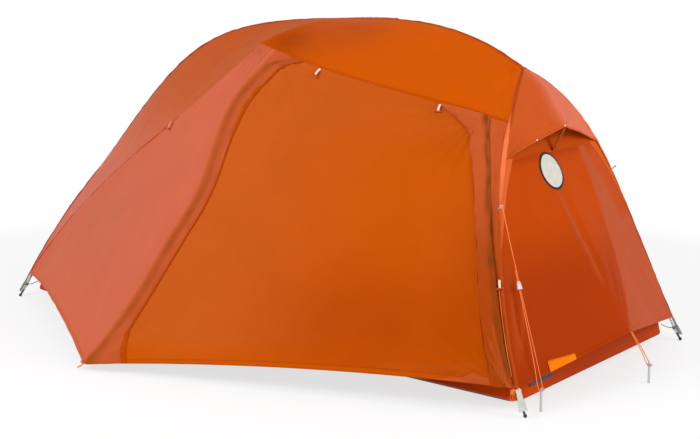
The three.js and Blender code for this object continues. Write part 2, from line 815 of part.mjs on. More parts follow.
const headSpineFromHub = new THREE.CatmullRomCurve3(sample(headSpine, 1, 0, 20));
const roofSpineFromHub = new THREE.CatmullRomCurve3(sample(roofSpine, 1, 0, 20));
const spineHeadPoints = [
  ...seated(headHub, headSpineFromHub, 1, 6),
  ...sample(roofSpine, 0, spineSplit, 7).slice(1),
];
const spineFootPoints = seated(footHub, roofSpineFromHub, 1 - spineSplit, 8);
const spineHeadCurve = new THREE.CatmullRomCurve3(spineHeadPoints);
const spineFootCurve = new THREE.CatmullRomCurve3(spineFootPoints);
const splitShare = 1 - (2 * touchGap) / spineHeadCurve.getLength();
add('spine_head_section', sweep(part(spineHeadCurve, 0, splitShare, 24), poleRadius, 24, 8), materials.pole);
add('spine_foot_section', sweep(spineFootCurve, poleRadius, 16, 8), materials.pole);
add('brow_pole', sweep(browCurve, poleRadius, 14, 8), materials.pole);

// Points on a leg at a height above the ground, for its tip and tether.
function legAt(curve, height) {
  return curve.getPoint(paramAt(curve, 'z', height));
}
const legs = [
  ['near_head', headLegs.near, headHub, flyHeadCornerHeight],
  ['far_head', headLegs.far, headHub, flyHeadCornerHeight],
  ['near_foot', footLegs.near, footHub, flyFootCornerHeight],
  ['far_foot', footLegs.far, footHub, flyFootCornerHeight],
];
for (const [name, curve, centre] of legs) {
  const end = paramAt(curve, 'z', tipLength + 2.2 * touchGap);
  const points = seated(centre, curve, end, 8);
  const poleSteps = centre === headHub ? 26 : 12;
  add(`${name}_leg`, sweep(new THREE.CatmullRomCurve3(points), poleRadius, poleSteps, 8), materials.pole);
}

// Hub: a round core with a socket for each pole that meets it.
function hub(centre, curves) {
  const bodies = [new THREE.SphereGeometry(hubCore, 12, 8).translate(centre.x, centre.y, centre.z)];
  const bores = [];
  for (const curve of curves) {
    const reach = hubCore + hubSocketLength;
    const mouth = towards(centre, curve.getPoint(fromStart(curve, reach)), reach);
    const seat = towards(centre, mouth, hubCore);
    const beyond = towards(centre, mouth, reach + 5);
    bodies.push(rod(towards(centre, mouth, hubCore / 2), mouth, poleRadius + hubClearance + hubWall, 10));
    bores.push(rod(seat, beyond, poleRadius + hubClearance, 10));
  }
  return toGeometry(join(bodies).subtract(join(bores)));
}
add('head_hub', hub(headHub, [headSpineFromHub, headLegs.near, headLegs.far]), materials.hub);
add('foot_hub', hub(footHub, [roofSpineFromHub, footLegs.near, footLegs.far]), materials.hub);

// Clip that holds the brow pole under the spine.
function browClip() {
  const sleeve = poleRadius + poleClearance + hubWall;
  const bore = poleRadius + poleClearance;
  const spineDirection = roofSpine.getTangent(crossingShare);
  const browDirection = browCurve.getTangent(0.5);
  const low = browCurve.getPoint(0.5);
  const span = (centre, direction, length) => [
    centre.clone().addScaledVector(direction, -length / 2),
    centre.clone().addScaledVector(direction, length / 2),
  ];
  const body = join([
    rod(...span(crossing, spineDirection, clipLength), sleeve),
    rod(...span(low, browDirection, clipLength), sleeve),
    rod(crossing, low, sleeve - hubWall),
  ]);
  const bores = join([
    rod(...span(crossing, spineDirection, 2 * clipLength), bore),
    rod(...span(low, browDirection, 2 * clipLength), bore),
  ]);
  return toGeometry(body.subtract(bores));
}
add('brow_clip', browClip(), materials.hub);

// Ball tips on the ground, and the tethers that hold the fly's corners and the floor to them.
function revolved(profile, sides) {
  const outline = profile.map(([radius, height]) => new THREE.Vector2(radius, height));
  return new THREE.LatheGeometry(outline, sides);
}

function poleTip(curve) {
  const ball = tipBall / 2;
  const foot = legAt(curve, 0);
  const centre = vec(foot.x, foot.y, ball);
  const poleEnd = legAt(curve, tipLength);
  const axis = poleEnd.clone().sub(centre).normalize();
  const profile = [];
  for (let step = 0; step <= 6; step += 1) {
    const angle = (step * Math.PI * 0.8) / 6;
    profile.push([ball * Math.sin(angle), ball - ball * Math.cos(angle)]);
  }
  const length = ball + centre.distanceTo(poleEnd);
  profile.push([tipShank / 2, tipBall - 1], [tipShank / 2, length], [0, length]);
  const base = centre.clone().addScaledVector(axis, -ball);
  return placed(revolved(profile, 12), base, axis.clone().cross(vec(0, 1, 0)), axis);
}

function tether(curve, cornerHeight, floorCorner) {
  const axis = legAt(curve, tipLength).sub(legAt(curve, 0)).normalize();
  const flyCorner = moved(legAt(curve, cornerHeight), flyStandoff);
  const onPole = legAt(curve, cornerHeight);
  const out = flyCorner.clone().sub(onPole);
  out.addScaledVector(axis, -out.dot(axis)).normalize();
  const across = axis.clone().cross(out);
  const inside = flyStandoff - tetherThickness;
  const strapFoot = legAt(curve, tipBall + 4).addScaledVector(out, inside);
  const strapTop = flyCorner.clone().addScaledVector(axis, -1).addScaledVector(out, -tetherThickness);
  const strapLength = strapFoot.distanceTo(strapTop);
  const outline = [
    [-tetherPlateWidth / 2, 0],
    [tetherPlateWidth / 2, 0],
    [tetherPlateWidth / 2, tetherPlateLength],
    [tetherWidth / 2, tetherPlateLength + 6],
    [tetherWidth / 2, strapLength],
    [-tetherWidth / 2, strapLength],
    [-tetherWidth / 2, tetherPlateLength + 6],
    [-tetherPlateWidth / 2, tetherPlateLength],
  ];
  const upward = strapTop.clone().sub(strapFoot);
  const strap = placed(slab(outline, tetherThickness), strapFoot, across, upward);
  const grip = legAt(curve, tipLength + 18);
  const low = grip.clone().addScaledVector(axis, -6);
  const high = grip.clone().addScaledVector(axis, 6);
  const boreRadius = poleRadius + poleClearance;
  const bridge = rod(grip, grip.clone().addScaledVector(out, inside + tetherThickness / 2), 4, 8);
  const floorStrap = rod(grip, towards(floorCorner, grip, 2 * touchGap), 1.6, 6);
  const bore = rod(low.clone().addScaledVector(axis, -9), high.clone().addScaledVector(axis, 9), boreRadius);
  const body = join([strap, rod(low, high, boreRadius + hubWall), bridge, floorStrap]);
  return toGeometry(body.subtract(toManifold(bore)));
}

const tubCornerHeight = 60;
function tubCorner(headEnd, side) {
  const inset = (tubLean * (tubCornerHeight - tubChineRise)) / (tubHeight - tubChineRise);
  const halfWidth = (headEnd ? headFloorWidth : footFloorWidth) / 2 - inset;
  const x = floorLength / 2 - inset;
  return vec(headEnd ? x : -x, side * halfWidth, tubCornerHeight);
}

for (const [name, curve, , cornerHeight] of legs) {
  add(`${name}_tip`, poleTip(curve), materials.hub);
  const floorCorner = tubCorner(name.endsWith('head'), name.startsWith('near') ? -1 : 1);
  add(`${name}_tether`, tether(curve, cornerHeight, floorCorner), materials.webbing);
}

// --- Inner tent ---

function rimCorner(headEnd, side) {
  const halfWidth = (headEnd ? headFloorWidth : footFloorWidth) / 2 - tubLean;
  const x = floorLength / 2 - tubLean;
  return vec(headEnd ? x : -x, side * halfWidth, tubHeight + touchGap);
}

function floorRing(inset, height) {
  const x = floorLength / 2 - inset;
  const head = headFloorWidth / 2 - inset;
  const foot = footFloorWidth / 2 - inset;
  return [vec(x, -head, height), vec(x, head, height), vec(-x, foot, height), vec(-x, -foot, height)];
}

// Floor: a tub with a flat bottom, a sloping chine and low walls.
function floorTub() {
  const rings = [
    floorRing(tubChine, 0),
    floorRing(0, tubChineRise),
    floorRing(tubLean, tubHeight),
    floorRing(tubLean + cloth, tubHeight),
    floorRing(1.2 * cloth, tubChineRise + cloth / 2),
    floorRing(tubChine + cloth / 2, cloth),
  ];
  const points = rings.flat();
  const triangles = [];
  for (let ring = 0; ring < rings.length - 1; ring += 1) {
    for (let i = 0; i < 4; i += 1) {
      const a = 4 * ring + i;
      const b = 4 * ring + ((i + 1) % 4);
      triangles.push([a, b, b + 4], [a, b + 4, a + 4]);
    }
  }
  const last = 4 * (rings.length - 1);
  triangles.push([0, 2, 1], [0, 3, 2], [last, last + 1, last + 2], [last, last + 2, last + 3]);
  return closedGeometry(points, triangles);
}
add('inner_floor', floorTub(), materials.floorCloth);

const innerGap = flyStandoff + innerDrop;

// The inner tent follows the fly's lines at a distance and ends on the tub's rim.
function insideOf(grid, rimFor) {
  const rows = grid.length - 1;
  const inside = grid.map((row) => row.map((point) => moved(point, -innerGap)));
  if (!rimFor) return inside;
  const columns = inside[0].length - 1;
  return inside.map((row, r) =>
    row.map((point, c) => {
      const shift = rimFor(c / columns).sub(inside[rows][c]);
      return point.clone().addScaledVector(shift, (r / rows) ** 2);
    }),
  );
}
function rimBetween(start, end) {
  return (share) => start.clone().lerp(end, share);
}
function everyOther(list) {
  return list.filter((item, i) => i % 2 === 0 || i === list.length - 1);
}

// Roof: both slopes in one piece from the foot hub to the head hub.
const roofPanels = {};
function roofSlope(side) {
  const top = insideOf(stretch(spineHeadLine, seam[side], brow[side], headLegLine[side].slice(0, legTopSteps + 1)));
  const foot = insideOf(stretch(spineFootLine, creases[side], brow[side], footLegLine[side]));
  const corner = rimCorner(false, sides[side]);
  const shift = corner.clone().sub(foot[footLegSteps][roofSteps]);
  const settled = foot.map((row, r) =>
    row.map((point, c) => point.clone().addScaledVector(shift, ((r / footLegSteps) * (c / roofSteps)) ** 2)),
  );
  roofPanels[side] = { top, foot: settled };
  return settled.map((row, r) => [...row.slice(1).reverse(), ...top[r]]);
}
const farSlope = everyOther(roofSlope('far'));
const nearSlope = everyOther(roofSlope('near'));
const roofGrid = [...nearSlope.slice(1).reverse(), ...farSlope];

// Walls between the roof's edge, a head leg and the tub's rim.
function innerWall(side) {
  const shoulder = roofPanels[side];
  const top = shoulder.top[browSteps];
  const left = shoulder.foot[browSteps];
  const right = insideOf([lowerLeg[side]])[0];
  const corner = rimCorner(true, sides[side]);
  const shift = corner.clone().sub(right[legSteps]);
  const settled = right.map((point, i) => point.clone().addScaledVector(shift, (i / legSteps) ** 2));
  const rim = line(left[roofSteps], corner, headSpineSteps);
  return { grid: stretch(top, rim, left, settled), headEdge: settled };
}
const innerWalls = { near: innerWall('near'), far: innerWall('far') };

// End walls, from a hub down to the rim.
function innerHeadEdge(side) {
  const upper = everyOther(roofPanels[side].top).map((row) => row[row.length - 1]);
  return [...upper, ...innerWalls[side].headEdge.slice(1)];
}
function innerFootEdge(side) {
  return everyOther(roofPanels[side].foot).map((row) => row[roofSteps]);
}
function innerEnd(near, far, columns) {
  const apex = Array.from({ length: columns + 1 }, () => near[0].clone());
  const rim = line(near[near.length - 1], far[far.length - 1], columns);
  return stretch(apex, rim, near, far);
}
const innerHeadGrid = innerEnd(innerHeadEdge('near'), innerHeadEdge('far'), 6);
const innerFootGrid = innerEnd(innerFootEdge('near'), innerFootEdge('far'), 4);

// Hanger: a hook on a pole, and the web that carries the inner tent.
function hanger(polePoint, tangent, clothPoint) {
  const half = innerHangerLength / 2;
  const start = polePoint.clone().addScaledVector(tangent, -half);
  const end = polePoint.clone().addScaledVector(tangent, half);
  const boreRadius = poleRadius + poleClearance;
  const beyond = [start.clone().addScaledVector(tangent, -half), end.clone().addScaledVector(tangent, half)];
  const body = join([rod(start, end, boreRadius + 2, 10), rod(polePoint, clothPoint, innerHangerRadius, 6)]);
  return body.subtract(toManifold(rod(beyond[0], beyond[1], boreRadius, 10)));
}
function sewn(panel, hangers) {
  return toGeometry(hangers.reduce((sum, piece) => sum.add(piece), toManifold(panel)));
}

// Point just inside a panel's cloth, a little way in from one of its edge points.
function clothPoint(grid, r, c, toC, distance) {
  const point = distance > 0 ? towards(grid[r][c], grid[r][toC], distance) : grid[r][c].clone();
  return moved(point, -cloth / 2);
}

const roofHangers = [2, 5, 8].map((step) => {
  const share = crossingShare + ((1 - crossingShare) * step) / roofSteps;
  const grid = roofPanels.far.foot;
  return hanger(roofSpine.getPoint(share), roofSpine.getTangent(share), clothPoint(grid, 0, step, 0, 0));
});
add('inner_roof', sewn(clothSolid(roofGrid), roofHangers), materials.innerCloth);

function legHangers(grid, curve, station, row) {
  const share = paramAt(curve, 'z', station);
  const near = headLegs.near === curve || footLegs.near === curve;
  const last = grid[0].length - 1;
  const target = near ? clothPoint(grid, row, 0, 1, 8) : clothPoint(grid, row, last, last - 1, 8);
  return hanger(curve.getPoint(share), curve.getTangent(share), target);
}
const headHangerStation = 3;
const headHangerRow = legTopSteps / 2 + ventSteps + headHangerStation;
const headHangerHeight = lowerLeg.near[ventSteps + headHangerStation].z;
const headHangers = ['near', 'far'].map((side) =>
  legHangers(innerHeadGrid, headLegs[side], headHangerHeight, headHangerRow),
);
add('inner_head_wall', sewn(clothSolid(innerHeadGrid), headHangers), materials.innerCloth);
const footHangers = ['near', 'far'].map((side) =>
  legHangers(innerFootGrid, footLegs[side], footLegLine.near[2].z, 1),
);
add('inner_foot_wall', sewn(clothSolid(innerFootGrid), footHangers), materials.innerCloth);
add('inner_far_wall', clothSolid(innerWalls.far.grid), materials.innerCloth);

// Near wall with its door, both cut from one sheet of cloth.
function doorCutter(gap) {
  const outline = roundedOutline(
    innerDoorLeft + gap,
    innerDoorSill + gap,
    innerDoorRight - gap,
    innerDoorHead - gap,
    innerDoorRadius,
    5,
  );
  const block = slab(outline, headFloorWidth / 2);
  return toManifold(placed(block, vec(0, -50, 0), vec(1, 0, 0), vec(0, 0, 1)));
}
const nearWall = toManifold(clothSolid(innerWalls.near.grid));
add('inner_near_wall', toGeometry(nearWall.subtract(doorCutter(0))), materials.innerCloth);
add('inner_door', toGeometry(nearWall.intersect(doorCutter(innerDoorGap))), materials.innerCloth);


// Slider of the inner door's zip, on the door's free edge. Its zip runs up that straight edge.
function onWall(grid, x, z) {
  let best = null;
  for (let r = 0; r < grid.length - 1; r += 1) {
    for (let c = 0; c < grid[0].length - 1; c += 1) {
      const corners = [grid[r][c], grid[r][c + 1], grid[r + 1][c + 1], grid[r + 1][c]];
      for (const [a, b, d] of [[0, 1, 2], [0, 2, 3]]) {
        const hit = vec(0, 0, 0);
        const ray = new THREE.Ray(vec(x, -2 * headFloorWidth, z), vec(0, 1, 0));
        const found = ray.intersectTriangle(corners[a], corners[b], corners[d], false, hit);
        if (found && (!best || hit.y < best.y)) best = hit.clone();
      }
    }
  }
  return best;
}
const innerSliderX = innerDoorLeft + innerDoorGap / 2;
const innerSliderLow = onWall(innerWalls.near.grid, innerSliderX, innerDoorSill + innerDoorRadius + 20);
const innerSliderHigh = onWall(innerWalls.near.grid, innerSliderX, innerDoorHead - innerDoorRadius - 20);
const innerSliderRun = innerSliderHigh.clone().sub(innerSliderLow).normalize();
const innerSliderOut = normalOf(innerSliderRun, vec(1, 0, 0), innerSliderLow);
add(
  'inner_zip_slider',
  placed(
    slab(roundedOutline(-sliderWidth / 2, 0, sliderWidth / 2, sliderLength, 3, 2), sliderHeight),
    innerSliderLow.clone().addScaledVector(innerSliderOut, innerSliderLift),
    innerSliderRun.clone().cross(innerSliderOut),
    innerSliderRun,
  ),
  materials.hub,
);

// --- Toggles, loops, guyline and pegs ---

// Toggle: a short strap sewn down at one end, with a bar across the other.
function toggle(root, down, normal) {
  const outline = roundedOutline(-toggleWidth / 2, 0, toggleWidth / 2, toggleStrap, 1, 1);
  const strapBase = root.clone().addScaledVector(normal, toggleLift);
  const strap = placed(slab(outline, toggleThickness), strapBase, down.clone().cross(normal), down);
  const across = down.clone().cross(normal).normalize();
  const barCentre = strapBase.clone().addScaledVector(down, toggleStrap);
  barCentre.addScaledVector(normal, toggleBarDepth / 2);
  const barStart = barCentre.clone().addScaledVector(across, -toggleBar / 2);
  const barEnd = barCentre.clone().addScaledVector(across, toggleBar / 2);
  return toGeometry(join([strap, rod(barStart, barEnd, toggleBarDepth / 2, 8)]));
}

function seamToggle(share) {
  const place = ((share - leftZipShare) / (rightZipShare - leftZipShare)) * doorColumns;
  const column = Math.floor(place);
  const blend = place - column;
  const at = (row) => door[row][column].clone().lerp(door[row][column + 1], blend);
  const down = at(1).sub(at(0)).normalize();
  const along = door[0][column + 1].clone().sub(door[0][column]);
  const root = at(0).addScaledVector(down, 4);
  return toggle(root, down, normalOf(down, along, root));
}
add('door_toggle_left', seamToggle(toggleShares[0]), materials.toggle);
add('door_toggle_right', seamToggle(toggleShares[1]), materials.toggle);

// On the side panel, just below its seam with the roof, hanging down.
const creaseRow = Math.round(creaseToggleShare * roofSteps);
const creasePoint = creases.near[creaseRow];
const creaseAlong = creases.near[creaseRow + 1].clone().sub(creasePoint).normalize();
const creaseAcross = sidePanel[creaseRow][1].clone().sub(creasePoint);
const creaseNormal = normalOf(creaseAcross, creaseAlong, creasePoint);
const creaseHang = vec(0, 0, -1).addScaledVector(creaseNormal, creaseNormal.z).normalize();
const creaseRoot = creasePoint.clone().addScaledVector(creaseHang, 5);
add('crease_toggle', toggle(creaseRoot, creaseHang, creaseNormal), materials.toggle);

// On the strip beside the near head leg, lying down along it.
function fractionalRow(list, height) {
  let row = 0;
  while (list[row + 1].z > height) row += 1;
  return row + (list[row].z - height) / (list[row].z - list[row + 1].z);
}
function between(list, row) {
  const low = Math.floor(row);
  return list[low].clone().lerp(list[low + 1], row - low);
}
const stripRow = fractionalRow(lowerLeg.near, legToggleHeight);
const stripOnLeg = between(lowerLeg.near, stripRow);
const stripAcross = between(stripLeft, stripRow).sub(stripOnLeg).normalize();
const stripDown = between(lowerLeg.near, stripRow + 0.5).sub(stripOnLeg).normalize();
const stripRoot = stripOnLeg.clone().addScaledVector(stripAcross, toggleBar / 2 - 1);
add(
  'leg_toggle',
  toggle(stripRoot, stripDown, normalOf(stripDown, stripAcross, stripRoot)),
  materials.toggle,
);

// Guy tab: folded webbing sewn to the fly over a head leg, standing off it.
const tabOutline = roundedOutline(-guyTabWidth / 2, 0, guyTabWidth / 2, guyTabLength, 3, 3);
function guyTab(side, height) {
  const curve = headLegs[side];
  const onPole = legAt(curve, height);
  const out = outward(onPole);
  const across = curve.getTangent(paramAt(curve, 'z', height));
  const base = moved(onPole, flyStandoff + touchGap);
  base.addScaledVector(across.clone().cross(out).normalize(), -guyTabThickness / 2);
  return placed(slab(tabOutline, guyTabThickness), base, across, out);
}
add('near_guy_tab', guyTab('near', guyTabHeight), materials.webbing);
add('far_guy_tab', guyTab('far', farGuyTabHeight), materials.webbing);

// Pegs standing in the ground, grooved near the top for a cord. A peg's height is its groove's.
function peg([x, y, height]) {
  const shaft = pegShaft / 2;
  const rim = pegSpool / 2;
  const low = height - pegGroove / 2;
  const high = height + pegGroove / 2;
  const profile = [
    [0, 0],
    [shaft, 0],
    [shaft, low - 2 * pegFlange],
    [rim, low - pegFlange],
    [rim, low],
    [shaft, low],
    [shaft, high],
    [rim, high],
    [rim, high + pegFlange],
    [0, high + pegCrown],
  ];
  return revolved(profile, 10).rotateX(Math.PI / 2).translate(x, y, 0);
}
add('guy_peg', peg(guyPeg), materials.peg);
add('tie_out_peg', peg(tieOutPeg), materials.peg);

// Guyline: down from the near tab, round its peg and back up through the tensioner.
const tabCentre = legAt(headLegs.near, guyTabHeight);
const lineTop = moved(tabCentre, flyStandoff + guyTabLength + guyCordDiameter + 2 * touchGap);
const pegCord = vec(...guyPeg);
const cordRound = pegShaft / 2 + guyCordDiameter / 2 + cordRoom;
function cord(points, diameter, spacing) {
  const curve = new THREE.CatmullRomCurve3(points, false, 'centripetal');
  return sweep(curve, diameter / 2, Math.round(curve.getLength() / spacing), 8);
}
const lineFlat = vec(pegCord.x - lineTop.x, pegCord.y - lineTop.y, 0).normalize();
const lineSide = vec(-lineFlat.y, lineFlat.x, 0);
function onLine(share, offset) {
  return lineTop.clone().lerp(pegCord, share).addScaledVector(lineSide, offset);
}
function aroundPeg(centre, degrees) {
  const angle = THREE.MathUtils.degToRad(degrees);
  const point = centre.clone().addScaledVector(lineFlat, cordRound * Math.cos(angle));
  return point.addScaledVector(lineSide, cordRound * Math.sin(angle));
}
const strandGap = 2.4;
const guyPoints = [
  onLine(0, 0),
  onLine(0.2, 0),
  onLine(tensionerShare - 0.08, strandGap / 2),
  onLine(tensionerShare + 0.08, strandGap),
  onLine(0.85, 2.4 * strandGap),
  ...[90, 45, 0, -45, -90].map((degrees) => aroundPeg(pegCord, degrees)),
  onLine(0.85, -2.4 * strandGap),
  onLine(tensionerShare + 0.08, -strandGap),
  onLine(tensionerShare - 0.08, -strandGap),
];
add('guyline', cord(guyPoints, guyCordDiameter, 11), materials.cord);

// Tensioner: a plate with one slot along the line, for both strands.
const lineDown = pegCord.clone().sub(lineTop).normalize();
const tensionerAt = lineTop.clone().lerp(pegCord, tensionerShare);
const slotWidth = 2 * strandGap + guyCordDiameter + 4;
const slotDepth = guyCordDiameter + 1.6;
const plate = new THREE.BoxGeometry(tensionerWidth, tensionerLength, tensionerDepth);
const slot = new THREE.BoxGeometry(slotWidth, 2 * tensionerLength, slotDepth);
const tensionerBody = toGeometry(toManifold(plate).subtract(toManifold(slot)));
add('line_tensioner', placed(tensionerBody, tensionerAt, lineSide, lineDown), materials.webbing);

// Elastic loop from the head wall's tie-out round its peg.
const bungeeRound = pegShaft / 2 + bungeeDiameter / 2 + cordRoom;
const bungeeHeight = tieOutPeg[2];
const bungeeRoot = vec(tieOutX + bungeeDiameter / 4, 0, tieOutHeight);
const bungeePoints = [
  bungeeRoot.clone().add(vec(0, -3, 0)),
  vec(tieOutPeg[0] - 24, -6, bungeeHeight + 38),
  vec(tieOutPeg[0], -bungeeRound, bungeeHeight),
  vec(tieOutPeg[0] + bungeeRound * 0.7, -bungeeRound * 0.7, bungeeHeight),
  vec(tieOutPeg[0] + bungeeRound, 0, bungeeHeight),
  vec(tieOutPeg[0] + bungeeRound * 0.7, bungeeRound * 0.7, bungeeHeight),
  vec(tieOutPeg[0], bungeeRound, bungeeHeight),
  vec(tieOutPeg[0] - 24, 6, bungeeHeight + 38),
  bungeeRoot.clone().add(vec(0, 3, 0)),
];
add('head_tie_out', cord(bungeePoints, bungeeDiameter, 8), materials.cord);

// Stake loop at the vestibule's ground corner.
const stakeLoopRoot = doorCorner.clone().add(vec(-guyCordDiameter / 2, -1, -1.2));
const stakeLoopEnd = stakeLoopRoot.clone().add(vec(-stakeLoopReach, 0, -stakeLoopDrop));
const stakeLoopHalf = stakeLoopWidth / 2;
const stakeLoopPoints = [
  stakeLoopRoot.clone().add(vec(0, 2, 0)),
  stakeLoopRoot.clone().lerp(stakeLoopEnd, 0.5).add(vec(0, stakeLoopHalf, 0)),
  stakeLoopEnd.clone().add(vec(3, 0.8 * stakeLoopHalf, 1)),
  stakeLoopEnd,
  stakeLoopEnd.clone().add(vec(3, -0.8 * stakeLoopHalf, 1)),
  stakeLoopRoot.clone().lerp(stakeLoopEnd, 0.5).add(vec(0, -stakeLoopHalf, 0)),
  stakeLoopRoot.clone().add(vec(0, -2, 0)),
];
add('vestibule_loop', cord(stakeLoopPoints, guyCordDiameter, 6), materials.cord);

// Cord lock under the strip beside the near head leg.
const lockHang = towards(strip[legSteps][0], strip[legSteps][1], 2).add(vec(0, 0, -2 * touchGap));
const lockProfile = [
  [0, 0],
  [cordLockDiameter / 2 - 1.5, 0],
  [cordLockDiameter / 2, -2],
  [cordLockDiameter / 2, -cordLockLength + 2],
  [cordLockDiameter / 2 - 1.5, -cordLockLength],
  [0, -cordLockLength],
];
const lockBody = revolved(lockProfile.reverse(), 12).rotateX(Math.PI / 2);
add('cord_lock', lockBody.translate(lockHang.x, lockHang.y, lockHang.z), materials.toggle);

export default tent;
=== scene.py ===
import math

import bmesh
import bpy
import numpy as np
from mathutils import Matrix, Vector


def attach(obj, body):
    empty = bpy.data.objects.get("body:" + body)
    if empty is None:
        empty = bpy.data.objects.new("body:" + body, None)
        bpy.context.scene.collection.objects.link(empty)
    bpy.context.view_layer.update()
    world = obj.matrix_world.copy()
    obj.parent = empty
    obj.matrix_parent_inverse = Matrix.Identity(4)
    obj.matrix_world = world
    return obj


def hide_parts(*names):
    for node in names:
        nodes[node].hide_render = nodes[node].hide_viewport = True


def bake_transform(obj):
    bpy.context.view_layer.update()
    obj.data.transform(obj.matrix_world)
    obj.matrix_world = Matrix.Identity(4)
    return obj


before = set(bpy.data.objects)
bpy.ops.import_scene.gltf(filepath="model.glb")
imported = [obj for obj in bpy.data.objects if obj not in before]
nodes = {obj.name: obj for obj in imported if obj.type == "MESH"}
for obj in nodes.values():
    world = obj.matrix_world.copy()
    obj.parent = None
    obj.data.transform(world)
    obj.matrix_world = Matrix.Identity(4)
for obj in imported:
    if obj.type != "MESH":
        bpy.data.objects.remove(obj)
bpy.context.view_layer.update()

print("frame loaded:", len(nodes), "CAD nodes")

view = {"place": (3.125, -3.977, 1.292), "azimuth": 36.89, "down": 10.295, "lens": 73.63, "sensor": 36}
bpy.ops.object.camera_add(
    location=view["place"],
    rotation=(math.radians(90 - view["down"]), 0, math.radians(view["azimuth"])),
)
camera = bpy.context.object
camera.data.lens = view["lens"]
camera.data.sensor_width = view["sensor"]
bpy.context.scene.camera = camera
bpy.context.scene.view_settings.view_transform = "Standard"


def vec(x, y, z):
    return np.array((x, y, z), float)


def unit(v):
    return v / np.maximum(np.linalg.norm(v, axis=-1, keepdims=True), 1e-12)


def smooth(x):
    x = np.clip(x, 0, 1)
    return x * x * (3 - 2 * x)


def outward(points):  # out of the tent, the same direction for the panels on both sides of a seam
    return unit(points * vec(0.35, 1, 1) - vec(0, 0, 0.2))


def linear(hexColour):
    channels = [int(hexColour[i : i + 2], 16) / 255 for i in (1, 3, 5)]
    return [c / 12.92 if c <= 0.04045 else ((c + 0.055) / 1.055) ** 2.4 for c in channels] + [1]


def addNode(tree, kind, inputs=(), out=0, **settings):  # gives back one output of the new node
    node = tree.nodes.new("ShaderNode" + kind)
    for key, value in settings.items():
        setattr(node, key, value)
    for key, value in dict(inputs).items():
        if isinstance(value, bpy.types.NodeSocket):
            tree.links.new(value, node.inputs[key])
        else:
            node.inputs[key].default_value = value
    return node.outputs[out] if node.outputs else None


def mixed(tree, share, first, second):
    return addNode(tree, "Mix", {0: share, 6: first, 7: second}, 2, data_type="RGBA")


def noise(tree, place, scale, detail, roughness=0.5):
    inputs = {"Vector": place, "Scale": scale, "Detail": detail, "Roughness": roughness}
    return addNode(tree, "TexNoise", inputs, "Fac")


def ranged(tree, value, low, high, toLow=0.0, toHigh=1.0, **settings):
    inputs = {"Value": value, "From Min": low, "From Max": high, "To Min": toLow, "To Max": toHigh}
    return addNode(tree, "MapRange", inputs, "Result", **settings)


def calculated(tree, operation, *values):
    return addNode(tree, "Math", dict(enumerate(values)), operation=operation)


def bumped(tree, height, strength, distance):
    return addNode(tree, "Bump", {"Height": height, "Strength": strength, "Distance": distance})


def principled(tree, colour, roughness, specular, **inputs):
    inputs = {name.replace("_", " "): value for name, value in inputs.items()}
    inputs = {"Base Color": colour, "Roughness": roughness, "Specular IOR Level": specular, **inputs}
    return addNode(tree, "BsdfPrincipled", inputs)


def newMaterial(name):
    material = bpy.data.materials.new(name)
    material.use_nodes = True
    tree = material.node_tree
    tree.nodes.clear()
    return material, tree, addNode(tree, "TexCoord", out="Object")


def waviness(points, size, seed, waves=26):  # smooth noise of about unit height, size metres across
    random = np.random.default_rng(seed)
    directions = unit(random.normal(size=(waves, 3)))
    rates = 2 * math.pi / (size * random.uniform(0.7, 1.5, waves))
    phases = random.uniform(0, 2 * math.pi, waves)
    angles = points @ (directions * rates[:, None]).T + phases
    return np.sin(angles).sum(-1) / math.sqrt(waves / 2)


def linked(name, data):
    piece = bpy.data.objects.new(name, data)
    bpy.context.scene.collection.objects.link(piece)
    return piece


def strand(name, points, diameter, closed=False):  # a round cord through points
    curve = bpy.data.curves.new(name, "CURVE")
    curve.dimensions = "3D"
    curve.bevel_depth = diameter / 2
    curve.bevel_resolution = 3
    curve.use_fill_caps = True
    spline = curve.splines.new("POLY")
    spline.points.add(len(points) - 1)
    spline.points.foreach_set("co", np.concatenate([points, np.ones((len(points), 1))], 1).ravel())
    spline.use_cyclic_u = closed
    return linked(name, curve)


# Cords come first, on the routes of the CAD part.
cords = {
    "guyCord": {
        "node": "guyline", "diameter": 0.0026, "lay": "taut",
        "route": [
            (0.9905, -0.3885, 0.5830), (1.0268, -0.4012, 0.4796), (1.0563, -0.4102, 0.3969),
            (1.0857, -0.4193, 0.3141), (1.1467, -0.4370, 0.1435), (1.1746, -0.4446, 0.0660),
            (1.1790, -0.4486, 0.0660), (1.1794, -0.4546, 0.0660), (1.1754, -0.4590, 0.0660),
            (1.1694, -0.4594, 0.0660), (1.1429, -0.4479, 0.1435), (1.0841, -0.4238, 0.3141),
            (1.0551, -0.4136, 0.3969),
        ],
    },
    "tieOutBungee": {
        "node": "head_tie_out", "diameter": 0.0030, "lay": "taut",
        "route": [
            (1.2337, -0.0030, 0.1530), (1.2740, -0.0060, 0.0960), (1.2980, -0.0080, 0.0580),
            (1.3036, -0.0056, 0.0580), (1.3060, 0.0000, 0.0580), (1.3036, 0.0056, 0.0580),
            (1.2980, 0.0080, 0.0580), (1.2740, 0.0060, 0.0960), (1.2337, 0.0030, 0.1530),
        ],
    },
    "stakeLoop": {
        "node": "vestibule_loop", "diameter": 0.0026, "lay": "loose",
        "route": [
            (-0.2123, -0.9530, 0.0188), (-0.2233, -0.9490, 0.0118), (-0.2313, -0.9502, 0.0058),
            (-0.2343, -0.9550, 0.0048), (-0.2313, -0.9598, 0.0058), (-0.2233, -0.9610, 0.0118),
            (-0.2123, -0.9570, 0.0188),
        ],
    },
}


def withEnds(points):  # points with one more at either end, straight on
    return np.concatenate([[2 * points[0] - points[1]], points, [2 * points[-1] - points[-2]]])


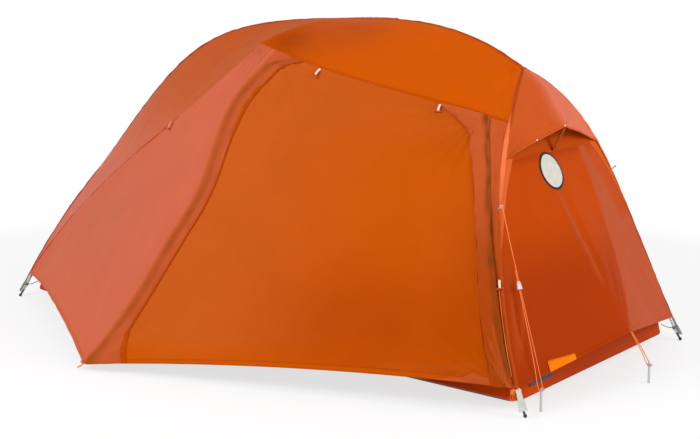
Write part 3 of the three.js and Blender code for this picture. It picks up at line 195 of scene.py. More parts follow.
def throughPoints(points, count):  # smooth curve through uneven points, count + 1 points evenly along it
    points = np.asarray(points, float)
    ends = withEnds(points)
    rows = []
    for i in range(len(points) - 1):
        a, b, c, d = ends[i : i + 4]
        ab, bc, cd = (max(math.sqrt(np.linalg.norm(q - p)), 1e-4) for p, q in ((a, b), (b, c), (c, d)))
        startPull = bc * ((b - a) / ab - (c - a) / (ab + bc) + (c - b) / bc)
        endPull = bc * ((c - b) / bc - (d - b) / (bc + cd) + (d - c) / cd)
        t = np.arange(40)[:, None] / 40
        rows.append(
            b * (2 * t**3 - 3 * t**2 + 1) + startPull * (t**3 - 2 * t**2 + t)
            + c * (3 * t**2 - 2 * t**3) + endPull * (t**3 - t**2)
        )
    points = np.concatenate([*rows, points[-1:]])
    reach = np.concatenate([[0], np.cumsum(np.linalg.norm(np.diff(points, axis=0), axis=1))])
    wanted = np.linspace(0, reach[-1], count + 1)
    return np.stack([np.interp(wanted, reach, points[:, k]) for k in range(3)], -1)


def wovenCord():  # braided polyester: a round sheath of crossing strands, slightly glossy
    material, tree, place = newMaterial("braidedCord")
    inputs = {"Vector": place, "Scale": 260.0, "Distortion": 3.0, "Detail": 1.0}
    strands = addNode(tree, "TexWave", inputs, "Fac", bands_direction="DIAGONAL")
    colour = mixed(tree, strands, linear("#E8681E"), linear("#FF9450"))
    surface = principled(tree, colour, 0.6, 0.3, Normal=bumped(tree, strands, 0.5, 0.0004))
    addNode(tree, "OutputMaterial", {"Surface": surface})
    return material


cordMaterial = wovenCord()
for name, look in cords.items():
    path = throughPoints(look["route"], 15 * len(look["route"]))
    piece = strand(name, path, look["diameter"])
    piece.data.materials.append(cordMaterial)
    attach(piece, "tent")
    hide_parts(look["node"])
    length = float(np.linalg.norm(np.diff(path, axis=0), axis=1).sum())
    print(name, round(length, 3), "m")


# Cloth finishes. Silicone-coated rip-stop nylon is thin and even, with a fine grid of thicker
# threads, a soft sheen, and enough light coming through it to warm its shaded side.
def cloth(name, look):
    material, tree, place = newMaterial(name)
    # per point, one attribute blends in the colour of painted light and the other darkens to painted shade
    paintedLightBlend, shade = (addNode(tree, "Attribute", out="Fac", attribute_name=key) for key in ("paintedLightBlend", "shade"))
    colour, other, dark = (linear(look[key]) for key in ("colour", "other", "dark"))
    shaded = mixed(tree, shade, mixed(tree, paintedLightBlend, colour, other), dark)
    blotch = noise(tree, place, scale=7.0, detail=3.0, roughness=0.55)
    value = ranged(tree, blotch, 0.25, 0.75, 0.965, 1.035)
    dyed = addNode(tree, "HueSaturation", {"Color": shaded, "Value": value})
    threads = addNode(tree, "UVMap", uv_map="weave")
    grid = addNode(tree, "VectorMath", {0: threads, 1: (1000 / look["gridMm"],) * 3}, operation="MULTIPLY")
    cell = addNode(tree, "VectorMath", {0: grid}, operation="FRACTION")
    sides = [addNode(tree, "SeparateXYZ", {0: cell}, axis) for axis in ("X", "Y")]
    ribs = calculated(tree, "MAXIMUM", *(calculated(tree, "COMPARE", side, 0.5, 0.07) for side in sides))
    crinkle = noise(tree, place, scale=42.0, detail=4.0, roughness=0.62)
    height = calculated(tree, "MULTIPLY_ADD", ribs, 0.12, crinkle)
    normal = bumped(tree, height, look["crinkle"], 0.0016)
    ribbed = mixed(tree, calculated(tree, "MULTIPLY", ribs, 0.07), dyed, dark)
    face = principled(tree, ribbed, look["roughness"], look["gloss"], Normal=normal, IOR=1.45)
    glow = addNode(tree, "BsdfTranslucent", {"Color": ribbed, "Normal": normal})
    both = addNode(tree, "MixShader", {0: look["glow"], 1: face, 2: glow})
    addNode(tree, "OutputMaterial", {"Surface": both})
    return material


plainCloth = {"gridMm": 5, "crinkle": 0.3, "roughness": 0.5, "glow": 0.2, "gloss": 0.03}
clothLooks = {  # main colour, the colour blended in for painted light, the colour of painted shade, and what isn't as usual
    "topCloth": ("#D65A01", "#C24E00", "#A43C00", {"crinkle": 0.25}),
    "roofCloth": ("#C3571F", "#D06C54", "#A23A14", {}),
    "sideCloth": ("#D06747", "#C7684F", "#AC441C", {}),
    "doorCloth": ("#CC5D1A", "#D05900", "#AE3C00", {}),
    "endCloth": ("#C64900", "#BE5530", "#A93400", {}),
    "hoodCloth": ("#D05A22", "#DE7454", "#A8390A", {}),
    "flapCloth": ("#C4582E", "#CE6746", "#A24A1A", {"crinkle": 0.35, "glow": 0.12}),
    "stripCloth": ("#C8592A", "#B2460A", "#7E3E10", {"crinkle": 0.4, "glow": 0.12}),
    "floorCloth": (
        "#BC4008", "#D24604", "#6E2204", {"gridMm": 6, "crinkle": 0.4, "roughness": 0.45, "glow": 0.12}
    ),
    # the binding's bright main colour is a painted highlight along the head legs' binding
    "bindingCloth": ("#F07A4A", "#C65618", "#A43A0C", {"glow": 0.05}),
    "patchCloth": ("#F27A08", "#F27A08", "#B04A08", {"crinkle": 0.4, "roughness": 0.55, "glow": 0.05}),
    "innerCloth": ("#E5CDB0", "#D9D2C6", "#C8A888", {"roughness": 0.7, "glow": 0.3}),
}
cloths = {
    name: cloth(name, {**plainCloth, "colour": colour, "other": other, "dark": dark, **special})
    for name, (colour, other, dark, special) in clothLooks.items()
}


def plainMaterial(name, colour, roughness, grainMm, bump, specular=0.5, metallic=0.0):
    material, tree, place = newMaterial(name)
    grain = noise(tree, place, scale=1000 / grainMm / 4, detail=3.0)
    worn = noise(tree, place, scale=55.0, detail=2.0)
    level = ranged(tree, worn, 0.3, 0.7, 0.94, 1.06)
    tinted = addNode(tree, "HueSaturation", {"Color": linear(colour), "Value": level})
    rough = ranged(tree, worn, 0.3, 0.7, roughness * 0.85, roughness * 1.15)
    normal = bumped(tree, grain, bump, 0.0003)
    surface = principled(tree, tinted, rough, specular, Metallic=metallic, Normal=normal)
    addNode(tree, "OutputMaterial", {"Surface": surface})
    return material


finishLooks = {  # material, colour, roughness, grain in millimetres, bump, specular level, metallic
    # anodised aluminium tube: drawn, satin and slightly grey
    "pole": ("anodisedPole", "#B8BCC2", 0.32, 0.3, 0.08, 0.5, 1.0),
    # glass-filled nylon: moulded with a fine matt texture
    "hub": ("mouldedNylon", "#2C2D30", 0.55, 0.5, 0.25),
    # acetal: moulded, smooth and a little glossy
    "toggle": ("redAcetal", "#C23A12", 0.45, 0.6, 0.1, 0.15),
    "lock": ("orangeAcetal", "#F07818", 0.45, 0.6, 0.1, 0.15),
    "pale": ("paleAcetal", "#C9CAC6", 0.42, 0.6, 0.1),
    # nylon coil zip on woven tape, with a die-cast slider that is lacquered dark
    "coil": ("nylonCoil", "#7A3A16", 0.5, 0.8, 0.3),
    "tape": ("wovenZipTape", "#8E4A22", 0.8, 0.9, 0.4, 0.1),
    "slider": ("lacqueredZinc", "#3A3532", 0.4, 0.5, 0.1, 0.5, 0.6),
    # pale woven ribbon of the roll-up toggles
    "ribbon": ("paleRibbon", "#E4D0C2", 0.7, 0.9, 0.4, 0.2),
    # woven polyester webbing, and a salmon one in the fly's colour
    "webbing": ("greyWebbing", "#CBC9C0", 0.75, 1.2, 0.5, 0.2),
    "salmonWebbing": ("salmonWebbing", "#F09474", 0.75, 1.2, 0.5, 0.2),
    # the tethers' welded tabs and braided elastic, and the thread of the bartacks
    "tab": ("weldedTab", "#BEC3BE", 0.5, 0.8, 0.2, 0.3),
    "elastic": ("braidedElastic", "#6E706C", 0.7, 0.8, 0.5, 0.2),
    "thread": ("bartackThread", "#F2E6DA", 0.8, 0.6, 0.6, 0.1),
    # a stiff stay in a sleeve of the fly's cloth, painted darker for the shade under the hood
    "stay": ("sleevedStay", "#963A08", 0.6, 0.8, 0.3, 0.1),
    # plain woven patches with an overlocked edge
    "patchField": ("wovenPatch", "#C9C5BC", 0.8, 0.9, 0.5, 0.1),
    "patchRim": ("merrowedEdge", "#2C3038", 0.8, 1.2, 0.7, 0.1),
    "label": ("wovenLabel", "#5A5058", 0.8, 0.9, 0.5, 0.1),
    # forged aluminium pegs
    "peg": ("forgedAlloy", "#C9CBCE", 0.35, 0.4, 0.1, 0.5, 1.0),
}
finishes = {key: plainMaterial(*look) for key, look in finishLooks.items()}
print("materials made")


# Guide lines of the fly, from the same sizes as the CAD part. A line's stations count along it.
def bezier(start, startPull, endPull, end):
    first, second = start + startPull, end + endPull

    def at(t):
        t = np.asarray(t, float)[..., None]
        u = 1 - t
        return start * u**3 + 3 * first * u**2 * t + 3 * second * u * t**2 + end * t**3

    return at


def shareAt(curve, axis, value):
    low, high = 0.0, 1.0
    rising = curve(1.0)[axis] > curve(0.0)[axis]
    for _ in range(50):
        middle = (low + high) / 2
        if (curve(middle)[axis] < value) == rising:
            low = middle
        else:
            high = middle
    return (low + high) / 2


def offset(points, distance):
    return points + outward(points) * distance


def slopePull(length, degrees, sign):
    angle = math.radians(degrees)
    return vec(sign * length * math.cos(angle), 0, length * math.sin(angle))


size = {
    "flyStandoff": 0.014,  # from a pole's middle to the fly's outer face
    "innerGap": 0.046,  # from the fly's outer face to the inner tent
    "cloth": 0.0006,
    "tubHeight": 0.115,
    "tubLean": 0.012,
    "floor": (1.120, 0.485, 0.355),  # half length, half width at the head and at the foot
    "hoodFoot": 0.690,  # heights on the poles, of the hood's foot and the hem's corners
    "headHem": 0.082,
    "footHem": 0.086,
}
headHub, footHub, peak = vec(0.820, 0, 0.942), vec(-1.089, 0, 0.478), vec(0.309, 0, 1.080)
headSpine = bezier(peak, vec(0.221, 0, 0), slopePull(0.149, 33.5, -1), headHub)
roofSpine = bezier(peak, vec(-0.862, 0, 0), slopePull(0.712, 46, 1), footHub)
crossingShare = shareAt(roofSpine, 0, 0.097)
crossing = roofSpine(crossingShare)
sides = {"near": -1, "far": 1}


def headLegPole(side):
    tip = vec(1.165, side * 0.53, 0)
    return bezier(headHub, vec(0.126, side * 0.302, -0.127), vec(-0.215, side * -0.083, 0.461), tip)


def footLegPole(side):
    tip = vec(-1.165, side * 0.40, 0)
    third = (tip - footHub) / 3
    bow = vec(-0.014, side * 0.014, 0.014)
    return bezier(footHub, third + bow, bow - third, tip)


headLegs = {side: headLegPole(sign) for side, sign in sides.items()}
footLegs = {side: footLegPole(sign) for side, sign in sides.items()}
perStation = 10


def stations(first, last, steps=perStation):
    return np.linspace(first, last, round((last - first) * steps) + 1)


def spineHead(s):  # station 0 at the brow crossing, 9 at the head hub
    q = 13 * (1 - np.asarray(s, float) / 9)
    front = headSpine(1 - np.minimum(q, 10) / 10)
    back = roofSpine(crossingShare * (np.maximum(q, 10) - 10) / 3)
    return offset(np.where((q <= 10)[..., None], front, back), size["flyStandoff"])


def spineFoot(s):  # station 0 at the brow crossing, 12 at the foot hub
    t = crossingShare + (1 - crossingShare) * np.asarray(s, float) / 12
    return offset(roofSpine(t), size["flyStandoff"])


def browTip(side):
    sign = sides[side]
    return vec(crossing[0] - 0.032, sign * 0.385, crossing[2] - 0.039 + sign * 0.028)


def browLine(side, s):  # station 0 at the spine, 4 at the brow pole's tip
    start, end = spineHead(np.zeros(1))[0], offset(browTip(side), size["flyStandoff"])
    share = (np.asarray(s, float) / 4)[..., None]
    points = start + (end - start) * share**2
    points[..., 1] = (start + (end - start) * share)[..., 1]
    return points


def headLegLine(side, s):  # station 0 at the hub, 4 at the top seam, 7 at the hood's foot, 16 at the corner
    curve = headLegs[side]
    knots = [0] + [shareAt(curve, 2, height) for height in (0.790, size["hoodFoot"], size["headHem"])]
    return offset(curve(np.interp(s, (0, 4, 7, 16), knots)), size["flyStandoff"])


def footLegLine(side, s):  # station 0 at the hub, 4 at the corner
    curve = footLegs[side]
    return offset(curve(np.asarray(s, float) / 4 * shareAt(curve, 2, size["footHem"])), size["flyStandoff"])


def pointOn(line, side, station):
    return line(side, np.array([float(station)]))[0]


leftZipShare, rightZipShare = 0.07, 0.896
seamShares = [0, *np.linspace(leftZipShare, rightZipShare, 8), 1]


def topSeam(side, s):  # station 0 at the brow tip, 1 at the left zip, 8 at the right zip, 9 at the leg
    share = np.interp(s, range(10), seamShares)[..., None]
    start, end = pointOn(browLine, side, 4), pointOn(headLegLine, side, 4)
    points = start + (end - start) * share
    points[..., 2:] -= 0.018 * 6.75 * share * (1 - share) ** 2
    return points


def crease(side, s):  # station 0 at the brow tip, 12 at the foot corner
    share = (np.asarray(s, float) / 12)[..., None]
    start, end = pointOn(browLine, side, 4), pointOn(footLegLine, side, 4)
    points = start + (end - start) * share
    points[..., 2:] += 0.060 * 6.75 * share**2 * (1 - share)
    return points


def hem(start, end, arch, shares):
    share = np.asarray(shares, float)[..., None]
    points = start + (end - start) * share
    points[..., 2:] += arch * 4 * share * (1 - share)
    return points


def straight(start, end, steps):
    return start + (end - start) * np.linspace(0, 1, steps + 1)[:, None]


def finer(points, steps=perStation):  # smooth line through stations, steps points for each
    ends = withEnds(points)
    rows = []
    for i in range(len(points) - 1):
        a, b, c, d = ends[i : i + 4]
        t = np.arange(steps)[:, None] / steps
        square, cube = 2 * a - 5 * b + 4 * c - d, 3 * b - a - 3 * c + d
        rows.append(0.5 * (2 * b + (c - a) * t + square * t**2 + cube * t**3))
    return np.concatenate([*rows, points[-1:]])


def stretch(top, bottom, left, right):  # surface stretched between four edges that share their corners
    v = np.linspace(0, 1, len(left))[:, None, None]
    u = np.linspace(0, 1, len(top))[None, :, None]
    across = top[None] * (1 - v) + bottom[None] * v
    down = left[:, None] * (1 - u) + right[:, None] * u
    upper, lower = top[0] * (1 - u) * (1 - v) + top[-1] * u * (1 - v), bottom[0] * (1 - u) * v
    return across + down - (upper + lower + bottom[-1] * u * v)


def topSlope(side):
    brow, leg = browLine(side, stations(0, 4)), headLegLine(side, stations(0, 4))
    return stretch(spineHead(stations(0, 9)), topSeam(side, stations(0, 9)), brow, leg)


def footSlope(side):
    brow, leg = browLine(side, stations(0, 4)), footLegLine(side, stations(0, 4))
    return stretch(spineFoot(stations(0, 12)), crease(side, stations(0, 12)), brow, leg)


doorCorner = vec(-0.211, -0.954, 0.020)
doorArch = 0.024
stripWidth = {"foot": 0.027, "head": 0.071, "power": 2.2}
legFoot = {side: pointOn(headLegLine, side, 16) for side in sides}
zipStart = pointOn(topSeam, "near", 1)
zipSways = [(0.16, -0.047), (0.3, -0.016), (0.45, 0.035), (0.6, 0.038), (0.78, 0.042), (0.93, 0.026)]
swayed = [zipStart + (doorCorner - zipStart) * share + vec(sway, 0, 0) for share, sway in zipSways]
leftZipStations = throughPoints([zipStart, *swayed, doorCorner], 12)
rightHemShare = 1 - stripWidth["foot"] / np.linalg.norm(doorCorner - legFoot["near"])
rightZipStations = headLegLine("near", np.linspace(4, 16, 13))
stripWidths = (1 - np.linspace(0, 1, 13)[:, None]) ** stripWidth["power"]
stripWidths = stripWidth["foot"] + stripWidth["head"] * stripWidths
rightZipStations = rightZipStations + unit(leftZipStations - rightZipStations) * stripWidths
rightZipStations[0] = pointOn(topSeam, "near", 8)
rightZipStations[12] = hem(doorCorner, legFoot["near"], doorArch, [rightHemShare])[0]
leftZip, rightZip = finer(leftZipStations), finer(rightZipStations)
lowerLeg = {side: headLegLine(side, stations(4, 16)) for side in sides}
print("guide lines made")


# Cloth sheets from grids of points. Row 0 is a panel's top edge and column 0 its left one.
allEdges = ("top", "bottom", "left", "right")


def normalsOf(grid):
    down, across = np.gradient(grid, axis=0), np.gradient(grid, axis=1)
    normals = np.cross(down, across)
    flat = np.linalg.norm(normals, axis=-1, keepdims=True) < 1e-10
    normals = unit(np.where(flat, outward(grid), normals))
    facing = (normals * outward(grid)).sum(-1, keepdims=True)
    return normals * np.where(np.median(facing) < 0, -1, 1)


def raised(grid, height):
    return grid + normalsOf(grid) * height[..., None]


def runsOf(grid):  # distance of each point from row 0, down its column
    steps = np.linalg.norm(np.diff(grid, axis=0), axis=-1)
    return np.concatenate([np.zeros((1, grid.shape[1])), np.cumsum(steps, axis=0)])


def fromEdges(grid):
    down, across = runsOf(grid), runsOf(grid.transpose(1, 0, 2)).T
    return {"top": down, "bottom": down[-1:] - down, "left": across, "right": across[:, -1:] - across}


def awayFrom(grid, edges, width):  # 0 on these edges, 1 from width inwards
    runs = fromEdges(grid)
    result = np.ones(grid.shape[:2])
    for edge in edges:
        result = result * smooth(runs[edge] / width)
    return result


def pulled(grid, point, height, reach, folds, seed, start=0.03):
    # folds that run to a point where the cloth is held
    away = grid - np.asarray(point, float)
    distance = np.linalg.norm(away, axis=-1)
    middle = unit((grid.reshape(-1, 3).mean(0) - np.asarray(point, float))[None])[0]
    normal = unit(normalsOf(grid).reshape(-1, 3).mean(0))
    side = np.cross(normal, middle)
    angle = np.arctan2(away @ side, away @ middle)
    random = np.random.default_rng(seed)
    wave = 0
    for _ in range(4):
        rate = folds * random.uniform(0.6, 1.5)
        bend = 1 - 2 * np.abs(np.sin(angle * rate + random.uniform(0, 6)))
        wave = wave + bend * random.uniform(0.4, 1)
    return height * wave / 2 * np.exp(-((distance / reach) ** 2)) * smooth(distance / start)


def alongFold(grid, start, end, width, axes=(1, 1, 1)):  # 1 along a line between two points, fading beside it
    start, end, grid = (np.asarray(value, float) * axes for value in (start, end, grid))
    span = end - start
    t = ((grid - start) @ span) / (span @ span)
    distance = np.linalg.norm(grid - start - span * np.clip(t, 0, 1)[..., None], axis=-1)
    ends = smooth(np.minimum(t, 1 - t) / 0.25 + 0.15)
    return np.exp(-((distance / width) ** 2)) * ends * (np.abs(t - 0.5) < 0.5)


def ridge(grid, start, end, height, width, seed=0, axes=(1, 1, 1)):  # one long soft fold
    return height * alongFold(grid, start, end, width, axes) * (1 + 0.25 * waviness(grid, 0.12, seed + 5))


def puckered(grid, edge, height, spacing, depth, seed):  # gathers along a seam
    runs = fromEdges(grid)
    along = runs["left" if edge in ("top", "bottom") else "top"]
    random = np.random.default_rng(seed)
    wave = 0
    for _ in range(5):
        rate = 2 * math.pi / (spacing * random.uniform(0.6, 1.8))
        wave = wave + np.sin(along * rate + random.uniform(0, 6) + runs[edge] * random.uniform(-12, 12))
    return height * wave / 2 * np.exp(-runs[edge] / depth)


def ripples(grid, *rows):  # each row: height, size and seed
    return sum(height * waviness(grid, across, seed) for height, across, seed in rows)


def shaped(grid, edges, folds, soft, sag=0.0, extra=0.0):  # folds fade out at edges, where cloth is sewn
    return raised(grid, sag + (sum(folds) + ripples(grid, *soft)) * edges + extra)


def blob(grid, point, reach):
    scaled = (grid - np.asarray(point, float)) / np.asarray(reach, float)
    return np.exp(-(scaled**2).sum(-1))


def toEdge(grid, edge):  # the same grid with this edge as row 0
    if edge in ("left", "right"):
        grid = grid.transpose(1, 0, 2)
    return grid[::-1] if edge in ("bottom", "right") else grid


def atDistances(grid, edge, distances, lifts):
    # lines on a panel at set distances from one edge, lifted off its face
    g, n = toEdge(grid, edge), toEdge(normalsOf(grid), edge)
    distances, lifts = (
        np.broadcast_to(value[:, None] if value.ndim == 1 else value, (len(distances), g.shape[1]))
        for value in (np.asarray(distances, float), np.asarray(lifts, float))
    )
    runs = runsOf(g)
    result = np.zeros((*distances.shape, 3))
    for c in range(g.shape[1]):
        for k in range(3):
            at = np.interp(distances[:, c], runs[:, c], g[:, c, k])
            result[:, c, k] = at + lifts[:, c] * np.interp(distances[:, c], runs[:, c], n[:, c, k])
    return result


def flatSize(grid):
    down = np.linalg.norm(np.diff(grid, axis=0), axis=-1).sum(0).max()
    across = np.linalg.norm(np.diff(grid, axis=1), axis=-1).sum(1).max()
    return round(float(across), 3), round(float(down), 3)


def finish(piece, material, body, replaced=()):
    piece.data.materials.clear()
    piece.data.materials.append(material)
    if isinstance(body, tuple):  # cloth sewn to two bodies: it is left in place, on neither
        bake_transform(piece)
    elif body:
        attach(piece, body)
    if replaced:
        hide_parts(*replaced)
    return piece


def only(piece):  # makes a piece the only selected one
    bpy.ops.object.select_all(action="DESELECT")
    piece.select_set(True)
    bpy.context.view_layer.objects.active = piece
    return piece


def modified(piece, kind, **settings):  # adds a modifier and applies it
    only(piece)
    modifier = piece.modifiers.new(kind, kind)
    for key, value in settings.items():
        setattr(modifier, key, value)
    bpy.ops.object.modifier_apply(modifier=kind)


def shadeSmooth(degrees):
    bpy.ops.object.shade_smooth_by_angle(angle=math.radians(degrees))


def makeSheet(
    name, grid, material, body="tent", replaced=(), paintedLightBlend=None, shade=None, thickness=None,
):
    rows, columns = grid.shape[:2]
    points = grid.reshape(-1, 3)
    r, c = np.meshgrid(np.arange(rows - 1), np.arange(columns - 1), indexing="ij")
    a = (r * columns + c).ravel()
    faces = np.stack([a, a + columns, a + columns + 1, a + 1], -1)
    first = faces[len(faces) // 2]
    turned = np.cross(points[first[1]] - points[first[0]], points[first[2]] - points[first[0]])
    if turned @ normalsOf(grid)[rows // 2, columns // 2] < 0:
        faces = faces[:, ::-1]
    mesh = bpy.data.meshes.new(name)
    mesh.from_pydata(points.tolist(), [], faces.tolist())
    fromMiddle = points - points.mean(0)
    axes = np.linalg.svd(fromMiddle[:: max(1, len(points) // 2000)], full_matrices=False)[2]
    weave = mesh.uv_layers.new(name="weave")
    corner = np.zeros(len(mesh.loops), np.int32)
    mesh.loops.foreach_get("vertex_index", corner)
    weave.data.foreach_set("uv", (fromMiddle @ axes[:2].T)[corner].astype(np.float32).ravel())
    for label, values in (("paintedLightBlend", paintedLightBlend), ("shade", shade)):
        layer = mesh.attributes.new(label, "FLOAT", "POINT")
        if values is not None:
            layer.data.foreach_set("value", np.clip(values, 0, 1).astype(np.float32).ravel())
    piece = linked(name, mesh)
    modified(piece, "WELD", merge_threshold=0.00002)
    modified(piece, "SOLIDIFY", thickness=thickness or size["cloth"], offset=-1)
    shadeSmooth(50)
    finish(piece, material, body, replaced)
    return piece


# Fly panels
panels = {}
sheets = {}


def makePanel(key, grid, look, node, paintedLightBlend=None, shade=None, body="tent"):
    panels[key] = grid
    piece = makeSheet(f"{key}Panel", grid, cloths[look], body, node, paintedLightBlend, shade)
    sheets[key] = {"piece": piece, "grid": grid, "trims": []}


def topPanel():
    for side in sides:
        grid = topSlope(side)
        runs = fromEdges(grid)
        inside = awayFrom(grid, allEdges, 0.05)
        sag = -0.006 * inside * smooth(np.minimum(runs["top"], runs["bottom"]) / 0.16)
        folds = (
            pulled(grid, pointOn(browLine, side, 4), 0.0035, 0.16, 7, 3),
            pulled(grid, headHub, 0.0035, 0.17, 6, 4),
            pulled(grid, pointOn(headLegLine, side, 4), 0.0025, 0.12, 6, 5),
        )
        soft = (0.0008, 0.22, 6), (0.0004, 0.07, 7)
        panels[f"top{side.capitalize()}"] = shaped(grid, awayFrom(grid, allEdges, 0.02), folds, soft, sag)
    grid = np.concatenate([panels["topNear"][::-1], panels["topFar"][1:]])
    # painted light and shade: a deeper orange patch near the peak, darker spots on the near slope, and darker
    # lines over the spine pole and along the seams
    paintedLightBlend = 0.8 * blob(grid, (0.22, -0.10, 1.06), (0.16, 0.11, 0.1))
    shade = 0.5 * blob(grid, (0.12, -0.3, 1.02), (0.06, 0.12, 0.1))
    shade = shade + 0.3 * blob(grid, (0.15, -0.3, 1.0), (0.17, 0.25, 0.2))
    shade += 0.35 * np.exp(-((grid[..., 1] / 0.012) ** 2))
    runs = fromEdges(grid)
    shade += 0.35 * smooth((0.012 - np.minimum(runs["top"], runs["bottom"])) / 0.006)
    makePanel("top", grid, "topCloth", ("fly_top_near", "fly_top_far"), paintedLightBlend, shade)


def roofPanel():
    for side, sign in sides.items():
        grid = footSlope(side)
        folds = (
            pulled(grid, pointOn(browLine, side, 4), 0.004, 0.22, 8, 13),
            pulled(grid, footHub, 0.004, 0.2, 7, 14),
            pulled(grid, pointOn(footLegLine, side, 4), 0.003, 0.2, 9, 15),
            ridge(grid, (-0.15, sign * 0.33, 0.93), (-0.75, sign * 0.3, 0.5), 0.003, 0.025, 16),
        )
        soft = (0.0012, 0.3, 17), (0.0005, 0.09, 18)
        sag = -0.006 * awayFrom(grid, allEdges, 0.09)
        panels[f"roof{side.capitalize()}"] = shaped(grid, awayFrom(grid, allEdges, 0.02), folds, soft, sag)
    grid = np.concatenate([panels["roofNear"][::-1], panels["roofFar"][1:]])
    # painted light: paler salmon lower on the roof; painted shade along the spine pole
    paintedLightBlend = smooth((0.88 - grid[..., 2]) / 0.40)
    shade = 0.21 * np.exp(-((grid[..., 1] / 0.012) ** 2))
    makePanel("roof", grid, "roofCloth", ("fly_roof_near", "fly_roof_far"), paintedLightBlend, shade)


def farPanel():
    bottom = hem(pointOn(crease, "far", 12), legFoot["far"], 0.030, stations(0, 9) / 9)
    grid = stretch(topSeam("far", stations(0, 9)), bottom, crease("far", stations(0, 12)), lowerLeg["far"])
    folds = (
        pulled(grid, bottom[0], 0.004, 0.3, 9, 21),
        pulled(grid, bottom[-1], 0.004, 0.3, 9, 22),
        pulled(grid, pointOn(browLine, "far", 4), 0.004, 0.3, 8, 23),
        puckered(grid, "bottom", 0.0012, 0.09, 0.05, 24),
    )
    soft = (0.002, 0.35, 25), (0.0006, 0.1, 26)
    edges = awayFrom(grid, ("top", "left", "right"), 0.02)
    grid = shaped(grid, edges, folds, soft, -0.010 * awayFrom(grid, allEdges, 0.2))
    makePanel("far", grid, "sideCloth", ("fly_far_wall",))


def sideEdges(grid, width, fade):  # 0 on a panel's left and right edges, and on its top one
    return awayFrom(grid, ("left", "right"), width) * smooth(fromEdges(grid)["top"] / fade)


def footPanel():
    near, far = (footLegLine(side, stations(0, 4, 14)) for side in sides)
    bottom = hem(near[-1], far[-1], 0.026, np.linspace(0, 1, 61))
    grid = stretch(np.repeat(near[:1], 61, 0), bottom, near, far)
    edges = sideEdges(grid, 0.02, 0.04)
    folds = (
        pulled(grid, near[0], 0.003, 0.22, 8, 31),
        pulled(grid, near[-1], 0.004, 0.25, 8, 32),
        pulled(grid, far[-1], 0.004, 0.25, 8, 33),
    )
    grid = shaped(grid, edges, folds, ((0.0012, 0.25, 34), (0.0005, 0.08, 35)), -0.004 * edges)
    makePanel("foot", grid, "sideCloth", ("fly_foot_wall",))


tieOut = vec(1.233, 0, 0.153)
sillEnds = {side: pointOn(headLegLine, side, 7) for side in sides}


def headPanel():
    top = straight(sillEnds["near"], sillEnds["far"], 80)
    bottom = np.concatenate([straight(legFoot["near"], tieOut, 40), straight(tieOut, legFoot["far"], 40)[1:]])
    grid = stretch(top, bottom, headLegLine("near", stations(7, 16)), headLegLine("far", stations(7, 16)))
    folds = [
        pulled(grid, tieOut, 0.004, 0.2, 8, 41),
        pulled(grid, bottom[0], 0.004, 0.25, 9, 42),
        pulled(grid, bottom[-1], 0.004, 0.22, 9, 43),
    ]
    ridges = (  # start, end, height, width and the strength of the painted highlight on its crest
        ((0, -0.071, 0.600), (0, -0.020, 0.280), 0.0045, 0.008, 0.75),
        ((0, -0.486, 0.130), (0, -0.405, 0.440), 0.0030, 0.007, 0.60),
        ((0, -0.478, 0.140), (0, -0.388, 0.310), 0.0025, 0.006, 0.50),
    )
    litCrest = 0
    for start, end, height, width, strength in ridges:
        folds.append(ridge(grid, start, end, height, width, 44, axes=(0, 1, 1)))
        litCrest = np.maximum(litCrest, strength * alongFold(grid, start, end, width, axes=(0, 1, 1)))
    folds.append(puckered(grid, "bottom", 0.001, 0.07, 0.04, 45))
    grid = shaped(grid, sideEdges(grid, 0.02, 0.03), folds, ((0.0015, 0.25, 46), (0.0005, 0.08, 47)))
    # painted light: lit salmon beyond a curved line down the wall, fainter again at the shoulder, with
    # painted highlights on the fold crests; painted shade low on the wall and at its top under the hood
    y, z = grid[..., 1], grid[..., 2]
    heights = (0.12, 0.153, 0.20, 0.253, 0.35, 0.523, 0.733)
    split = np.interp(z, heights, (-0.02, 0.0, 0.07, 0.119, 0.165, 0.182, 0.166))
    paintedLightBlend = smooth((y - split) / 0.03 + 0.5)
    shoulderLine = np.interp(z, (0.44, 0.733), (0.34, 0.178))
    shoulder = smooth((y - shoulderLine) / 0.03 + 0.5) * smooth((z - 0.42) / 0.06)
    paintedLightBlend = np.maximum(paintedLightBlend * (1 - 0.65 * shoulder), litCrest)
    low = smooth((0.55 - z) / 0.25) * (1 - paintedLightBlend) * (1 - litCrest)
    shade = 0.75 * low * smooth((y + 0.62) / 0.1)
    shade += 0.55 * smooth((z - 0.665) / 0.03) * (1 - paintedLightBlend)
    makePanel("head", grid, "endCloth", ("fly_head_wall",), paintedLightBlend, shade)


# The door's cloth bends where it is sewn to the top, as that seam bows away from the hinge line.
hinge = {"at": vec(0.1337, -0.3770, 0.9977), "down": vec(-0.1142, -0.5013, -0.8577), "bend": (0.0085, 0.024)}
hungDoor = ("tent", "door", *(hinge["at"] + hinge["down"] * reach for reach in hinge["bend"]))


